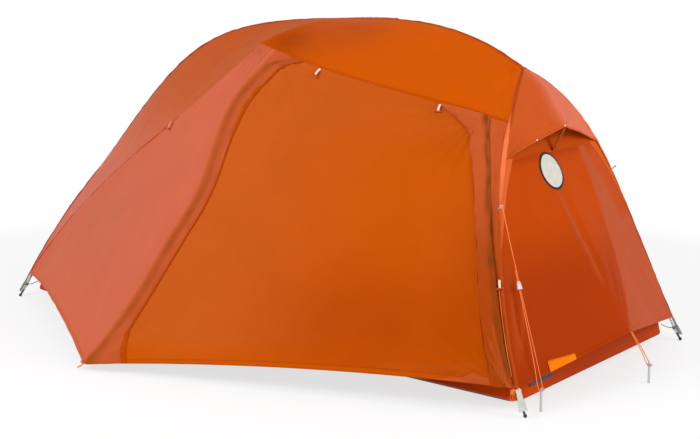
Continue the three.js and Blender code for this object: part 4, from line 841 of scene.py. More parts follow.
def doorPanel():
    bottom = hem(doorCorner, legFoot["near"], doorArch, np.linspace(0, rightHemShare, 141))
    top = topSeam("near", stations(1, 8, 20))
    grid = stretch(top, bottom, leftZip, rightZip)
    folds = (
        pulled(grid, doorCorner, 0.003, 0.3, 8, 51),
        pulled(grid, bottom[-1], 0.004, 0.28, 12, 52),
        pulled(grid, top[0], 0.003, 0.22, 8, 53) + pulled(grid, top[-1], 0.004, 0.25, 9, 54),
        puckered(grid, "bottom", 0.0012, 0.12, 0.05, 55),
        puckered(grid, "right", 0.0016, 0.11, 0.07, 56),
    )
    share, up = np.linspace(0, 1, grid.shape[1]), fromEdges(grid)["bottom"]
    drag = 0
    for low, high, left, right in ((0.024, 0.032, 0.66, 0.93), (0.034, 0.052, 0.76, 0.96)):
        line = np.interp(share, (left, right), (low, high))
        ends = smooth((share - left) / 0.08), smooth((right - share) / 0.03)
        drag = np.maximum(drag, np.exp(-(((up - line) / 0.005) ** 2)) * ends[0] * ends[1])
    edges = awayFrom(grid, ("top", "left", "right"), 0.03)
    soft = (0.002, 0.4, 57), (0.0004, 0.1, 58)
    grid = shaped(grid, edges, folds, soft, -0.012 * awayFrom(grid, allEdges, 0.25), 0.002 * drag)
    # painted light: the door's orange deepens across it and low down, less so along the drag folds; painted
    # shade low on the right, where the inner tent behind darkens it
    paintedLightBlend = smooth((grid[..., 0] - 0.05) / 0.65) * (1 - 0.6 * smooth((grid[..., 2] - 0.68) / 0.15))
    paintedLightBlend = (paintedLightBlend + smooth((0.16 - grid[..., 2]) / 0.12)) * (1 - 0.9 * drag)
    shade = 0.5 * blob(grid, (0.66, -0.63, 0.22), (0.34, 0.3, 0.16))
    shade = shade + 0.3 * blob(grid, (0.98, -0.5, 0.35), (0.12, 0.3, 0.3))
    makePanel("door", grid, "doorCloth", ("vestibule_door",), paintedLightBlend, shade, hungDoor)


def sidePanel():
    corner = pointOn(crease, "near", 12)
    top = straight(pointOn(topSeam, "near", 0), leftZip[0], 80)
    bottom = hem(corner, leftZip[-1], 0.046, np.linspace(0, 1, 81))
    grid = stretch(top, bottom, crease("near", stations(0, 12)), leftZip)
    folds = (
        pulled(grid, top[0], 0.003, 0.35, 9, 61),
        pulled(grid, corner, 0.004, 0.3, 9, 62),
        pulled(grid, doorCorner, 0.003, 0.25, 9, 63),
        ridge(grid, (0.02, -0.41, 0.95), (-0.42, -0.53, 0.55), 0.0035, 0.018, 64),
        ridge(grid, (-0.02, -0.42, 0.9), (-0.25, -0.62, 0.5), -0.003, 0.02, 65),
        ridge(grid, (-1.05, -0.39, 0.16), (-0.75, -0.46, 0.36), 0.004, 0.03, 66),
        puckered(grid, "bottom", 0.001, 0.1, 0.05, 67),
    )
    soft = (0.0018, 0.35, 68), (0.0005, 0.1, 69)
    grid = shaped(grid, sideEdges(grid, 0.02, 0.03), folds, soft, -0.008 * awayFrom(grid, allEdges, 0.15))
    # painted light: a pinker patch across the middle of the panel; painted shade along its edge at the zip
    paintedLightBlend = 0.9 * blob(grid, (-0.62, -0.58, 0.42), (0.34, 0.4, 0.24))
    shade = 0.12 * smooth((0.03 - fromEdges(grid)["right"]) / 0.02)
    makePanel("side", grid, "sideCloth", ("fly_vestibule_side",), paintedLightBlend, shade)


def stripPanel():
    leg = lowerLeg["near"]
    grid = stretch(straight(rightZip[0], leg[0], 12), straight(rightZip[-1], leg[-1], 12), rightZip, leg)
    across = fromEdges(grid)["right"]
    folds = 0.0025 * np.sin(across * 190 + 1.5 * waviness(grid, 0.25, 71)) + 0.001 * waviness(grid, 0.05, 72)
    grid = raised(grid, folds * sideEdges(grid, 0.012, 0.03))
    share = np.linspace(0, 1, grid.shape[0])[:, None]
    # painted light: the strip darker and deeper orange lower down; painted shade beside the zip and in soft
    # patches
    paintedLightBlend = smooth((share - 0.3) / 0.4) * np.ones(grid.shape[:2]) * 0.85
    shade = 0.7 * smooth((0.023 - fromEdges(grid)["left"]) / 0.012) * smooth(share / 0.08)
    shade += 0.12 * smooth(waviness(grid, 0.12, 73))
    makePanel("strip", grid, "stripCloth", ("fly_leg_strip",), paintedLightBlend, shade)


def hoodPanel():
    edges = {}
    for side, sign in sides.items():
        line = headLegLine(side, stations(0, 7))
        inset = np.minimum(0.003, np.abs(line[:, 1]))
        edges[side] = line + np.stack([np.full(len(line), 0.003), -sign * inset, np.zeros(len(line))], -1)
    near, far = edges["near"], edges["far"]
    apex = vec(0.983, 0, 0.776)
    bottom = np.concatenate([straight(near[-1], apex, 36), straight(apex, far[-1], 36)[1:]])
    across = np.linspace(-1, 1, 73)
    bottom[:, 2] += 0.003 * 4 * np.abs(across) * (1 - np.abs(across))
    grid = stretch(np.repeat(near[:1], 73, 0), bottom, near, far)
    down = np.linspace(0, 1, grid.shape[0])[:, None]
    belly = 0.010 * np.sin(math.pi * down) * np.exp(-((np.abs(across[None, :]) - 0.5) / 0.25) ** 2)
    folds = pulled(grid, apex, 0.004, 0.14, 6, 81) + pulled(grid, near[-1], 0.004, 0.16, 7, 82)
    folds = folds + pulled(grid, far[-1], 0.003, 0.16, 7, 83)
    folds += ridge(grid, near[0], (0.965, -0.08, 0.76), 0.005, 0.02, 84)
    soft = 0.001 * waviness(grid, 0.12, 85)
    grid = raised(grid, (folds + soft - belly * 0.3) * sideEdges(grid, 0.02, 0.05))
    # painted light: the hood paler salmon towards its far side; painted shade along its near edge at the top
    paintedLightBlend = smooth((grid[..., 1] + 0.05) / 0.1)
    shade = 0.5 * smooth((0.016 - fromEdges(grid)["left"]) / 0.008) * (grid[..., 2] > 0.79)
    makePanel("hood", grid, "hoodCloth", ("vent_hood",), paintedLightBlend, shade)


makers = (topPanel, roofPanel, farPanel, footPanel, headPanel, doorPanel, sidePanel, stripPanel, hoodPanel)
for make in makers:
    make()
print("fly panels made")


# Trims lie on a panel or over the line between two panels.
def makeTrim(name, grid, look, body="tent", panel=None, replaced=(), paintedLightBlend=None, shade=None):
    piece = makeSheet(name, grid, cloths[look], body, replaced, paintedLightBlend, shade, 0.0008)
    if panel:
        sheets[panel.removesuffix("Near").removesuffix("Far")]["trims"].append(piece)


def flatTrim(
    name, panel, edge, width, look, body="tent", start=0.0004, lift=0.0010, paintedLightBlend=0.0, shade=0.0, line=0.0,
    span=(0, 1),
):
    # a strip of doubled cloth, sewn flat along one edge of a panel, with a line of painted shade along its
    # stitched inner side
    shape = np.array((0, 0.04, 0.5, 0.84, 0.92, 0.97, 1))
    count = toEdge(panels[panel], edge).shape[1] - 1
    across = start + shape[:, None] * (np.asarray(width, float) * np.ones(count + 1))
    grid = atDistances(panels[panel], edge, across, lift * np.array((0.3, 1, 1.1, 1, 0.8, 1, 0.3)))
    grid = grid[:, round(span[0] * count) : round(span[1] * count) + 1]
    gathers = 0.0005 * waviness(grid, 0.03, len(name))
    grid = raised(grid, gathers * np.minimum(np.sin(math.pi * shape) * 3, 1)[:, None])
    shade = shade + line * np.array((0, 0, 0, 0.3, 1, 1, 1))[:, None] * np.ones(grid.shape[1])
    makeTrim(name, grid, look, body, panel, paintedLightBlend=np.broadcast_to(paintedLightBlend, grid.shape[:2]), shade=shade)


def piping(name, line, width, lift, look, paintedLightBlend=0.0, shade=0.0):
    # a bound seam that stands up over the pole under it
    ahead = unit(np.gradient(line, axis=0))
    out = outward(line)
    out = unit(out - ahead * (out * ahead).sum(-1, keepdims=True))
    side = np.cross(ahead, out)
    width, lift = (np.broadcast_to(value, len(line))[:, None] for value in (width, lift))
    rows = []
    for angle in np.radians(np.linspace(-90, 90, 9)):
        rows.append(line + side * width / 2 * math.sin(angle) + out * (lift * math.cos(angle) - 0.0012))
    grid = np.stack(rows)
    grid = raised(grid, 0.0004 * waviness(grid, 0.04, len(name)))
    paintedLightBlend, shade = (np.broadcast_to(value, grid.shape[:2]) for value in (paintedLightBlend, shade))
    makeTrim(name, grid, look, paintedLightBlend=paintedLightBlend, shade=shade)


headColumns = np.arange(81)  # the head wall's, whose shaded half ends at the tie-out
# hems take their panel's colour of painted light, and a line of painted shade
hems = {
    "door": {"width": 0.017, "look": "doorCloth", "body": "door", "paintedLightBlend": 1.0, "line": 0.5},
    "side": {"width": 0.011, "look": "sideCloth", "paintedLightBlend": 0.2, "line": 0.35},
    "head": {
        "width": 0.010, "look": "endCloth", "line": 0.1,
        "paintedLightBlend": smooth((headColumns - 39) / 2), "shade": 0.75 * smooth((41 - headColumns) / 2),
    },
    "foot": {"width": 0.011, "look": "sideCloth", "paintedLightBlend": 0.2, "line": 0.4},
    "far": {"width": 0.012, "look": "sideCloth", "paintedLightBlend": 0.2, "line": 0.4},
    "hood": {"width": 0.007, "look": "hoodCloth", "paintedLightBlend": 0.15, "line": 0.5},
    "strip": {"width": 0.012, "look": "stripCloth", "paintedLightBlend": 0.3, "line": 0.5},
}
for panel, hemLook in hems.items():
    flatTrim(f"{panel}Hem", panel, "bottom", **hemLook)
seams = {
    "fell": 0.008, "bound": 0.010,  # widths
    "leg": (0, 3.2, 4.2, 5.5, 7.5, 8.8, 10, 16), "crease": (0, 3.5, 4.5, 12),  # stations where they change
}
# seams get painted shade along them, and the top's ones part of its darker colour of painted light
for side in ("Near", "Far"):
    flatTrim(f"topSeam{side}", f"top{side}", "bottom", seams["fell"], "topCloth", paintedLightBlend=0.7, line=0.5)
    flatTrim(f"browSeam{side}", f"roof{side}", "left", seams["fell"], "roofCloth", line=0.5)
flatTrim("sillBinding", "head", "top", 0.006, "endCloth", lift=0.0007, line=0.2)
spineLine = np.concatenate([spineFoot(stations(0, 12))[::-1], spineHead(stations(0, 9))[1:]])
piping("spineBinding", spineLine, seams["bound"], 0.003, "roofCloth", shade=0.35)
creaseAt, legAt = stations(0, 12), stations(0, 16)
creaseShade = np.interp(creaseAt, seams["crease"], (0.1, 0.2, 0.9, 1.0))
creaseWidths = np.interp(creaseAt, seams["crease"], (0.004, 0.005, 0.009, 0.010))
# painted highlight along the middle of each head leg's binding, fading to the wall's colour and painted shade
# towards its ends
legWidths, legRises, legTone, legShade = (
    np.interp(legAt, seams["leg"], values)
    for values in (
        (0.007, 0.007, 0.009, 0.014, 0.014, 0.010, 0.006, 0.006),
        (0.003, 0.003, 0.004, 0.005, 0.005, 0.004, 0.0025, 0.0025),
        (1, 0.9, 0.3, 0, 0.1, 0.3, 1, 1),
        (0.8, 0.6, 0.1, 0, 0, 0.1, 0.45, 0.55),
    )
)
# a facing spreads the pull of each guy tab over the end wall; the near one keeps a little of the binding's
# painted highlight
facing = np.interp(np.linspace(0, 1, 91), (0, 0.12, 0.25, 0.36, 0.5), (0.052, 0.036, 0.024, 0.014, 0.004))
for side, edge, facingTone in (("near", "left", 0.75), ("far", "right", 1.0)):
    name = side.capitalize()
    headLine = headLegLine(side, legAt)
    piping(f"headLegBinding{name}", headLine, legWidths, legRises, "bindingCloth", legTone, legShade)
    footLine = footLegLine(side, stations(0, 4, 20))
    piping(f"footLegBinding{name}", footLine, seams["bound"], 0.0035, "sideCloth", shade=0.35)
    piping(f"creaseSeam{name}", crease(side, creaseAt), creaseWidths, 0.0018, "sideCloth", shade=creaseShade)
    flatTrim(
        f"legFacing{name}", "head", edge, facing, "bindingCloth", lift=0.0012, paintedLightBlend=facingTone, span=(0, 0.45)
    )
print("hems and seams made")


# Storm flaps: sewn to the door beside each zip, over the zip and onto the panel next to it. Down the
# door's side their cloth rises in steps, in shares of its reach, and then falls onto the panel.
flapRise = {
    "shares": (1.0, 0.985, 0.96, 0.93, 0.88, 0.82, 0.74, 0.64, 0.54, 0.45),
    "crown": (0.018, 0.012, 0.006, 0.002),
    "lifts": (
        0.0003, 0.0014, 0.0018, 0.0022, 0.0028, 0.0036, 0.0046,
        0.0058, 0.0070, 0.0080, 0.0088, 0.0096, 0.0100, 0.0100,
    ),
    "fall": (0.14, 0.35, 0.55, 0.72, 0.86, 1.0),
    "fallLifts": (0.0100, 0.0096, 0.0088, 0.0072, 0.0050, 0.0026),
}
zipShadeLook = {"sway": 0.003, "strength": 0.85}  # of the painted shade along the zip: a darker streak where the zip under the flap shades the cloth


def stormFlap(name, panel, doorEdge, panelEdge, look, replaced):
    share = np.linspace(0, 1, 121)
    reach = np.interp(share, look["at"], look["reach"])
    shares, crown, lifts, fall, fallLifts = (np.array(flapRise[key]) for key in flapRise)
    doorDistances = np.concatenate([shares[:, None] * reach, np.minimum(crown[:, None], 0.4 * reach)])
    doorSide = atDistances(panels["door"], doorEdge, doorDistances, lifts)
    panelDistances = np.interp(share, (0, 0.5, 1), look["over"]) * fall[:, None]
    panelSide = atDistances(panels[panel], panelEdge, panelDistances, fallLifts)
    grid = np.concatenate([doorSide, panelSide])
    rows, seed, wave = len(doorDistances), look["seed"], look["wave"]
    fadeAt = (0, 1, 5, rows - 2, len(grid) - 1)
    fade = np.interp(np.arange(len(grid)), fadeAt, (0, 0.1, 1, 0.35, 0.15))[:, None]
    fade = fade * smooth(share / 0.03)
    wavy = wave * (waviness(grid, 0.11, seed) + 0.6 * waviness(grid, 0.045, seed + 1))
    signed = np.concatenate([doorDistances, -panelDistances])
    wavy += 0.8 * wave * np.sin(signed * 420 + 1.2 * waviness(grid, 0.3, seed + 3))
    grid = raised(grid, wavy * fade)
    sway = zipShadeLook["sway"] * np.sin(share * look["swayRate"] + 1.1)
    sway += look["streakBend"] * (1 - smooth(share / 0.07)) ** 2
    streakAt = np.interp(share, (0, 0.5, 1), look["streakAt"])
    zipShade = np.exp(-(((signed - streakAt - sway) / look["streakWidth"]) ** 2))
    zipShade = zipShadeLook["strength"] * zipShade * (0.85 + 0.15 * waviness(grid, 0.05, seed + 2))
    # painted light: the left flap takes the side panel's colour where it lies on it, and the right one
    # deepens lower down
    if look["blends"]:
        paintedLightBlend = smooth((0.006 - signed) / 0.012)
    else:
        paintedLightBlend = smooth((share - 0.3) / 0.45) * np.ones((len(grid), 1))
    for highest, side in look["fan"]:  # folds that run up from the flap's lower corner, with painted highlights on their crests
        line = np.interp(share, (highest, 1), (side, -0.004))
        litCrest = np.exp(-(((signed - line) / 0.0035) ** 2)) * smooth((share - highest) / 0.04)
        grid = raised(grid, 0.0018 * litCrest)
        paintedLightBlend, zipShade = paintedLightBlend * (1 - 0.9 * litCrest), zipShade * (1 - 0.7 * litCrest)
    makeTrim(name, grid, look["cloth"], hungDoor, "door", replaced, paintedLightBlend, zipShade)
    seam = np.interp(share, look["at"], look["seamWidth"])
    distances = np.stack([reach + 0.0008, reach + 0.0002, reach - 0.5 * seam, reach - seam])
    grid = atDistances(panels["door"], doorEdge, distances, (0.0006, 0.0026, 0.0040, 0.0036))
    paintedLightBlend, shade = np.ones(grid.shape[:2]), np.full(grid.shape[:2], look["seam"])
    makeTrim(f"{name}Seam", grid, "doorCloth", hungDoor, "door", paintedLightBlend=paintedLightBlend, shade=shade)


leftFlap = {
    "at": (0, 0.025, 0.05, 0.1, 0.2, 0.3, 0.7, 0.88, 0.915, 0.94, 0.965, 1.0),
    "reach": (0.105, 0.075, 0.060, 0.056, 0.054, 0.052, 0.053, 0.062, 0.082, 0.101, 0.121, 0.155),
    "seamWidth": (0.004, 0.006, 0.008, 0.013, 0.012, 0.005, 0.005, 0.010, 0.016, 0.018, 0.018, 0.016),
    "over": (0.0145, 0.0145, 0.0145), "wave": 0.0012, "seed": 91, "swayRate": 17,
    "streakAt": (0.017, 0.017, 0.017), "streakBend": 0.055, "streakWidth": 0.012,
    "seam": 0.55, "cloth": "flapCloth", "blends": True, "fan": (),
}
rightFlap = {
    "at": (0, 0.03, 0.06, 0.095, 0.125, 0.18, 0.25, 0.36, 0.5, 0.68, 0.87, 1.0),
    "reach": (0.15, 0.12, 0.09, 0.066, 0.05, 0.045, 0.043, 0.040, 0.036, 0.045, 0.056, 0.058),
    "seamWidth": (0.004, 0.004, 0.004, 0.004, 0.004, 0.005, 0.005, 0.006, 0.006, 0.005, 0.004, 0.004),
    "over": (0.030, 0.0165, 0.0125), "wave": 0.0014, "seed": 95, "swayRate": 31,
    "streakAt": (-0.020, -0.014, 0.000), "streakBend": 0.0, "streakWidth": 0.011,
    "seam": 0.35, "cloth": "stripCloth", "blends": False,
    "fan": ((0.90, 0.052), (0.85, 0.034), (0.80, 0.016)),
}
stormFlap("leftStormFlap", "side", "left", "right", leftFlap, ("left_storm_flap",))
stormFlap("rightStormFlap", "strip", "right", "left", rightFlap, ("right_storm_flap",))
for sheet in sheets.values():
    width, length = flatSize(sheet["grid"])
print("storm flaps made")


# Inner tent: hung inside the fly from the poles, and sewn to a tub floor.
def rimCorner(headEnd, sign):
    length, head, foot = size["floor"]
    x, y = length - size["tubLean"], (head if headEnd else foot) - size["tubLean"]
    return vec(x if headEnd else -x, sign * y, size["tubHeight"] + 0.0003)


def inwards(points):
    return offset(points, -size["innerGap"])


inner = {}
for side, sign in sides.items():
    top, foot = inwards(topSlope(side)), inwards(footSlope(side))
    r, c = np.linspace(0, 1, foot.shape[0])[:, None], np.linspace(0, 1, foot.shape[1])[None]
    foot = foot + (rimCorner(False, sign) - foot[-1, -1]) * ((r * c) ** 2)[..., None]
    leg = inwards(lowerLeg[side])
    leg = leg + (rimCorner(True, sign) - leg[-1]) * (np.linspace(0, 1, len(leg)) ** 2)[:, None]
    rim = straight(foot[-1, -1], rimCorner(True, sign), top.shape[1] - 1)
    inner[side] = {
        "slope": np.concatenate([foot[:, :0:-1], top], axis=1),
        "wall": stretch(top[-1], rim, foot[-1], leg)[::2, ::2],
        "headEdge": np.concatenate([top[:, -1], leg[1:]]),
        "footEdge": foot[:, -1],
    }


def hung(grid, depth, seed):  # cloth under little tension between its edges
    soft = ripples(grid, (0.0025, 0.3, seed), (0.0008, 0.09, seed + 1))
    return raised(grid, -(depth + soft + 0.003) * awayFrom(grid, allEdges, 0.15))


def fan(near, far, columns):  # surface between two lines that start at one point
    return stretch(np.repeat(near[:1], columns + 1, 0), straight(near[-1], far[-1], columns), near, far)


def innerSheet(name, grid, node, body="tent"):
    return makeSheet(name, grid, cloths["innerCloth"], body, (node,))


roofGrid = np.concatenate([inner["near"]["slope"][::-1], inner["far"]["slope"][1:]])[::2, ::2]
innerSheet("innerRoof", hung(roofGrid, 0.004, 101), "inner_roof")
innerSheet("innerFarWall", hung(inner["far"]["wall"], 0.006, 103), "inner_far_wall")
for end, columns, seed in (("head", 60, 105), ("foot", 44, 107)):
    grid = fan(*(inner[side][f"{end}Edge"] for side in sides), columns)
    innerSheet(f"inner{end.capitalize()}Wall", hung(grid, 0.004, seed), f"inner_{end}_wall")

doorLook = {
    "left": -0.210, "right": 0.660, "low": 0.175, "high": 0.745, "radius": 0.15, "gap": 0.0006,
    "zip": 0.004, "zipOut": 0.004, "zipLift": 0.0028,
}


def roundedOutline(gap, steps=10):  # the inner door's outline, smaller by a gap
    radius = doorLook["radius"]
    left, low = doorLook["left"] + gap + radius, doorLook["low"] + gap + radius
    right, high = doorLook["right"] - gap - radius, doorLook["high"] - gap - radius
    points = []
    for x, z, start in ((right, low, -90), (right, high, 0), (left, high, 90), (left, low, 180)):
        for step in range(steps + 1):
            angle = math.radians(start + 90 * step / steps)
            points.append((x + radius * math.cos(angle), z + radius * math.sin(angle)))
    return points


def cut(piece, operation, gap):  # cuts a piece with a block in the door's outline
    outline = roundedOutline(gap)
    shape = bmesh.new()
    rings = [[shape.verts.new((x, y, z)) for x, z in outline] for y in (-0.9, -0.02)]
    shape.faces.new(rings[0])
    shape.faces.new(rings[1][::-1])
    for i in range(len(outline)):
        after = (i + 1) % len(outline)
        shape.faces.new((rings[0][i], rings[1][i], rings[1][after], rings[0][after]))
    bmesh.ops.recalc_face_normals(shape, faces=shape.faces)
    mesh = bpy.data.meshes.new("doorCutter")
    shape.to_mesh(mesh)
    shape.free()
    cutter = linked("doorCutter", mesh)
    modified(piece, "BOOLEAN", operation=operation, object=cutter, solver="EXACT")
    bpy.data.objects.remove(cutter)


wallGrid = hung(inner["near"]["wall"], 0.004, 109)
wall = innerSheet("innerNearWall", wallGrid, "inner_near_wall")
cut(wall, "DIFFERENCE", 0)
doorSheet = innerSheet("innerDoor", wallGrid, "inner_door", None)
cut(doorSheet, "INTERSECT", doorLook["gap"])
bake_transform(doorSheet)


def onSurface(grid, points, axis):  # points moved along one axis onto a grid's surface
    flat = grid.reshape(-1, 3)
    others = [k for k in range(3) if k != axis]
    moved = np.array(points, float)
    for i, point in enumerate(moved):
        gaps = ((flat[:, others] - point[others]) ** 2).sum(1)
        nearest = np.argsort(gaps)[:6]
        weights = 1 / (gaps[nearest] + 1e-8)
        moved[i, axis] = (flat[nearest, axis] * weights).sum() / weights.sum()
    return moved


def ropeOf(name, points, diameter, material, body="tent", closed=False):  # a strand as a mesh
    only(strand(name, points, diameter, closed))
    bpy.ops.object.convert(target="MESH")
    shadeSmooth(40)
    finish(bpy.context.object, material, body)


zipLine = onSurface(wallGrid, [(x, 0, z) for x, z in roundedOutline(-doorLook["zipOut"], 8)], 1)
zipLine = zipLine + outward(zipLine) * doorLook["zipLift"]
ropeOf("innerZip", zipLine, doorLook["zip"], finishes["coil"], closed=True)


def tubFloor():
    length, head, foot = size["floor"]
    rings = [  # inset from the floor's edge, and height
        (0.34, 0.0006), (0.27, 0.0006), (0.2, 0.0006), (0.14, 0.0006), (0.09, 0.0006), (0.066, 0.0008),
        (0.060, 0.0012), (0.050, 0.0045), (0.030, 0.0145), (0.010, 0.0245), (0.002, 0.029), (0.0005, 0.034),
        (0.003, 0.050), (0.0065, 0.075), (0.0100, 0.100), (0.012, 0.115),
    ]
    rows = []
    for inset, height in rings:
        x, y1, y2 = length - inset, head - inset, foot - inset
        corners = np.array([(x, -y1), (x, y1), (-x, y2), (-x, -y2)])
        loop = []
        radius = max(0.028 - inset * 0.1, 0.004)
        for i in range(4):
            before, here, after = corners[i - 1], corners[i], corners[(i + 1) % 4]
            start, end = here + unit(before - here) * radius, here + unit(after - here) * radius
            for t in np.linspace(0, 1, 7):
                loop.append((1 - t) ** 2 * start + 2 * t * (1 - t) * here + t**2 * end)
            ahead = after + unit(here - after) * radius
            steps = 60 if i % 2 else 24
            loop += [end + (ahead - end) * t for t in np.linspace(0, 1, steps + 1)[1:-1]]
        rows.append(np.column_stack([loop, np.full(len(loop), height)]))
    grid = np.stack([rows[0] * vec(1, 0, 1), *rows])
    grid = np.concatenate([grid, grid[:, :1]], axis=1)
    level = np.arange(len(grid))[:, None]
    grid[..., 2] += (level < 7) * (np.abs(waviness(grid, 0.16, 111)) * 0.0011)
    wallShare = smooth((grid[..., 2] - 0.03) / 0.03)
    wave = waviness(grid[:, :-1], 0.14, 112)
    wave = np.concatenate([wave, wave[:, :1]], axis=1)
    return grid - unit(grid * vec(1, 1, 0)) * (wallShare * (0.0022 + 0.002 * wave))[..., None]


tubGrid = tubFloor()
# painted light: the tub's near wall, in shade under the door, is lifted towards a brighter orange
litNearWall = smooth((-tubGrid[..., 1] - 0.3) / 0.1) * smooth((tubGrid[..., 2] - 0.001) / 0.01)
tub = makeSheet(
    "innerFloor", tubGrid, cloths["floorCloth"], replaced=("inner_floor",), paintedLightBlend=litNearWall
)
print("inner tent made")


# Vent netting under the hood: fine knitted mesh in the fly's colour, painted darker for the hood's shadow
# over it.
def shadedNet():
    material, tree, place = newMaterial("shadedNet")
    holes = addNode(tree, "TexVoronoi", {"Vector": place, "Scale": 420.0}, "Distance")
    colour = mixed(tree, holes, linear("#C04C04"), linear("#A43C02"))
    addNode(tree, "OutputMaterial", {"Surface": principled(tree, colour, 0.8, 0.05, Alpha=0.94)})
    return material


netGrid = fan(*(headLegLine(side, stations(0, 7)) for side in sides), 60)
netGrid = raised(netGrid, -0.006 * awayFrom(netGrid, ("bottom", "left", "right"), 0.08))
makeSheet("ventNet", netGrid, shadedNet(), "tent", ("vent_mesh",))


# Small parts are modelled at the origin and then stood in their places.
def stood(name, bevel, base, turn, material, body, replaced):
    piece = bpy.context.object
    piece.name = name
    modified(piece, "BEVEL", width=bevel, segments=2, limit_method="ANGLE", angle_limit=math.radians(30))
    shadeSmooth(35)
    piece.data.transform(Matrix.Translation(base) @ turn.to_4x4())
    piece.data.update()
    finish(piece, material, body, replaced)


def turned(name, profile, base, up, material, body, bevel=0.0003, replaced=()):
    # a round piece: a disc extruded and scaled ring by ring along its axis
    bpy.ops.object.select_all(action="DESELECT")
    bpy.ops.mesh.primitive_circle_add(vertices=24, radius=profile[0][0], fill_type="NGON")
    bpy.ops.object.mode_set(mode="EDIT")
    bpy.ops.mesh.select_mode(type="FACE")
    bpy.ops.mesh.select_all(action="SELECT")
    radius, height = profile[0]
    bpy.ops.transform.translate(value=(0, 0, height))
    for nextRadius, nextHeight in profile[1:]:
        bpy.ops.mesh.extrude_region_move(TRANSFORM_OT_translate={"value": (0, 0, nextHeight - height)})
        scale = nextRadius / radius
        bpy.ops.transform.resize(value=(scale, scale, 1), center_override=(0, 0, nextHeight))
        radius, height = nextRadius, nextHeight
    bpy.ops.mesh.select_all(action="SELECT")
    bpy.ops.mesh.normals_make_consistent(inside=False)
    bpy.ops.object.mode_set(mode="OBJECT")
    turn = Vector((0, 0, 1)).rotation_difference(Vector(up).normalized()).to_matrix()
    stood(name, bevel, base, turn, material, body, replaced)


def plate(name, sizes, base, up, right, material, body, topScale, dish, bevel, replaced, slot):
    # a flat piece on its end: a block narrowed towards its top, with a dished face
    width, height, depth = sizes
    bpy.ops.object.select_all(action="DESELECT")
    bpy.ops.mesh.primitive_cube_add(size=1, location=(0, 0, height / 2), scale=(width, depth, height))
    block = bpy.context.object.data
    bpy.ops.object.transform_apply(location=True, rotation=True, scale=True)
    bpy.ops.object.mode_set(mode="EDIT")
    bpy.ops.mesh.select_mode(type="FACE")
    for axis, sign in ((2, 1), (1, 1), (1, -1)):
        for face in bmesh.from_edit_mesh(block).faces:
            face.select_set(face.normal[axis] * sign > 0.9 and face.calc_center_median()[axis] * sign > -1e-6)
        bmesh.update_edit_mesh(block)
        if axis == 2:
            bpy.ops.transform.resize(value=(topScale, 1, 1), center_override=(0, 0, height))
        else:
            bpy.ops.mesh.inset(thickness=min(width, height) * 0.16)
            bpy.ops.mesh.extrude_region_move(TRANSFORM_OT_translate={"value": (0, -sign * dish, 0)})
    bpy.ops.object.mode_set(mode="OBJECT")
    up, right = Vector(up).normalized(), Vector(right)
    right = (right - up * right.dot(up)).normalized()
    turn = Matrix((right, up.cross(right), up)).transposed()
    stood(name, bevel, base, turn, material, body, replaced)


def alongStrap(rows):  # shares down a strap and across it
    return np.linspace(0, 1, rows)[:, None, None], np.linspace(-0.5, 0.5, 5)[None, :, None]


# Toggles: a webbing strap sewn into the seam, with a bar in its end that buttons a rolled panel up.
toggleLook = {
    "strap": 0.026, "width": 0.007, "thickness": 0.0013, "bow": 0.0035, "lift": 0.0022, "sewn": 0.008,
    "bar": 0.024, "barRadius": 0.0033, "knob": ((0.55, 0), (1, 0.0012), (1, 0.006), (0.72, 0.0075)),
}
toggles = {
    "doorToggleLeft": {
        "node": "door_toggle_left", "strap": "ribbon", "root": (0.2831, -0.3486, 0.9461),
        "down": (-0.4422, -0.4788, -0.7584), "across": (-0.8483, -0.0513, 0.5270),
    },
    "doorToggleRight": {
        "node": "door_toggle_right", "strap": "ribbon", "root": (0.6900, -0.2659, 0.8503),
        "down": (0.0555, -0.5684, -0.8209), "across": (-0.9582, -0.2615, 0.1163),
    },
    "creaseToggle": {
        "node": "crease_toggle", "strap": "salmonWebbing", "root": (-0.3475, -0.3795, 0.7360),
        "down": (-0.2474, -0.4839, -0.8394), "across": (-0.8903, 0.4553, 0),
    },
    "legToggle": {
        "node": "leg_toggle", "strap": "ribbon", "root": (1.0261, -0.4536, 0.3719),
        "down": (0.2855, -0.2858, -0.9148), "across": (-0.9252, -0.3313, -0.1852),
    },
}
for name, look in toggles.items():
    root, down, across = (np.array(look[key]) for key in ("root", "down", "across"))
    body = look["node"] + "_body"
    out = np.cross(across, down)
    out = unit(out if out @ outward(root) > 0 else -out)
    t, v = alongStrap(13)
    lift = toggleLook["lift"] + toggleLook["bow"] * np.sin(math.pi * t * 0.9)
    grid = root + down * toggleLook["strap"] * t + across * toggleLook["width"] * v + out * lift
    sewn = ("door" if name.startswith("door") else "tent", body, root, root + down * toggleLook["sewn"])
    strap, thickness = finishes[look["strap"]], toggleLook["thickness"]
    makeSheet(f"{name}Strap", grid, strap, sewn, (look["node"],), thickness=thickness)
    middle = grid[-1, 2] + down * 0.0006
    length, radius, knob = (toggleLook[key] for key in ("bar", "barRadius", "knob"))
    profile = [(radius * share, height) for share, height in knob]
    profile += [(radius * share, length - height) for share, height in knob[::-1]]
    turned(f"{name}Bar", profile, middle - across * (length / 2), across, finishes["toggle"], body)
print("toggles made")

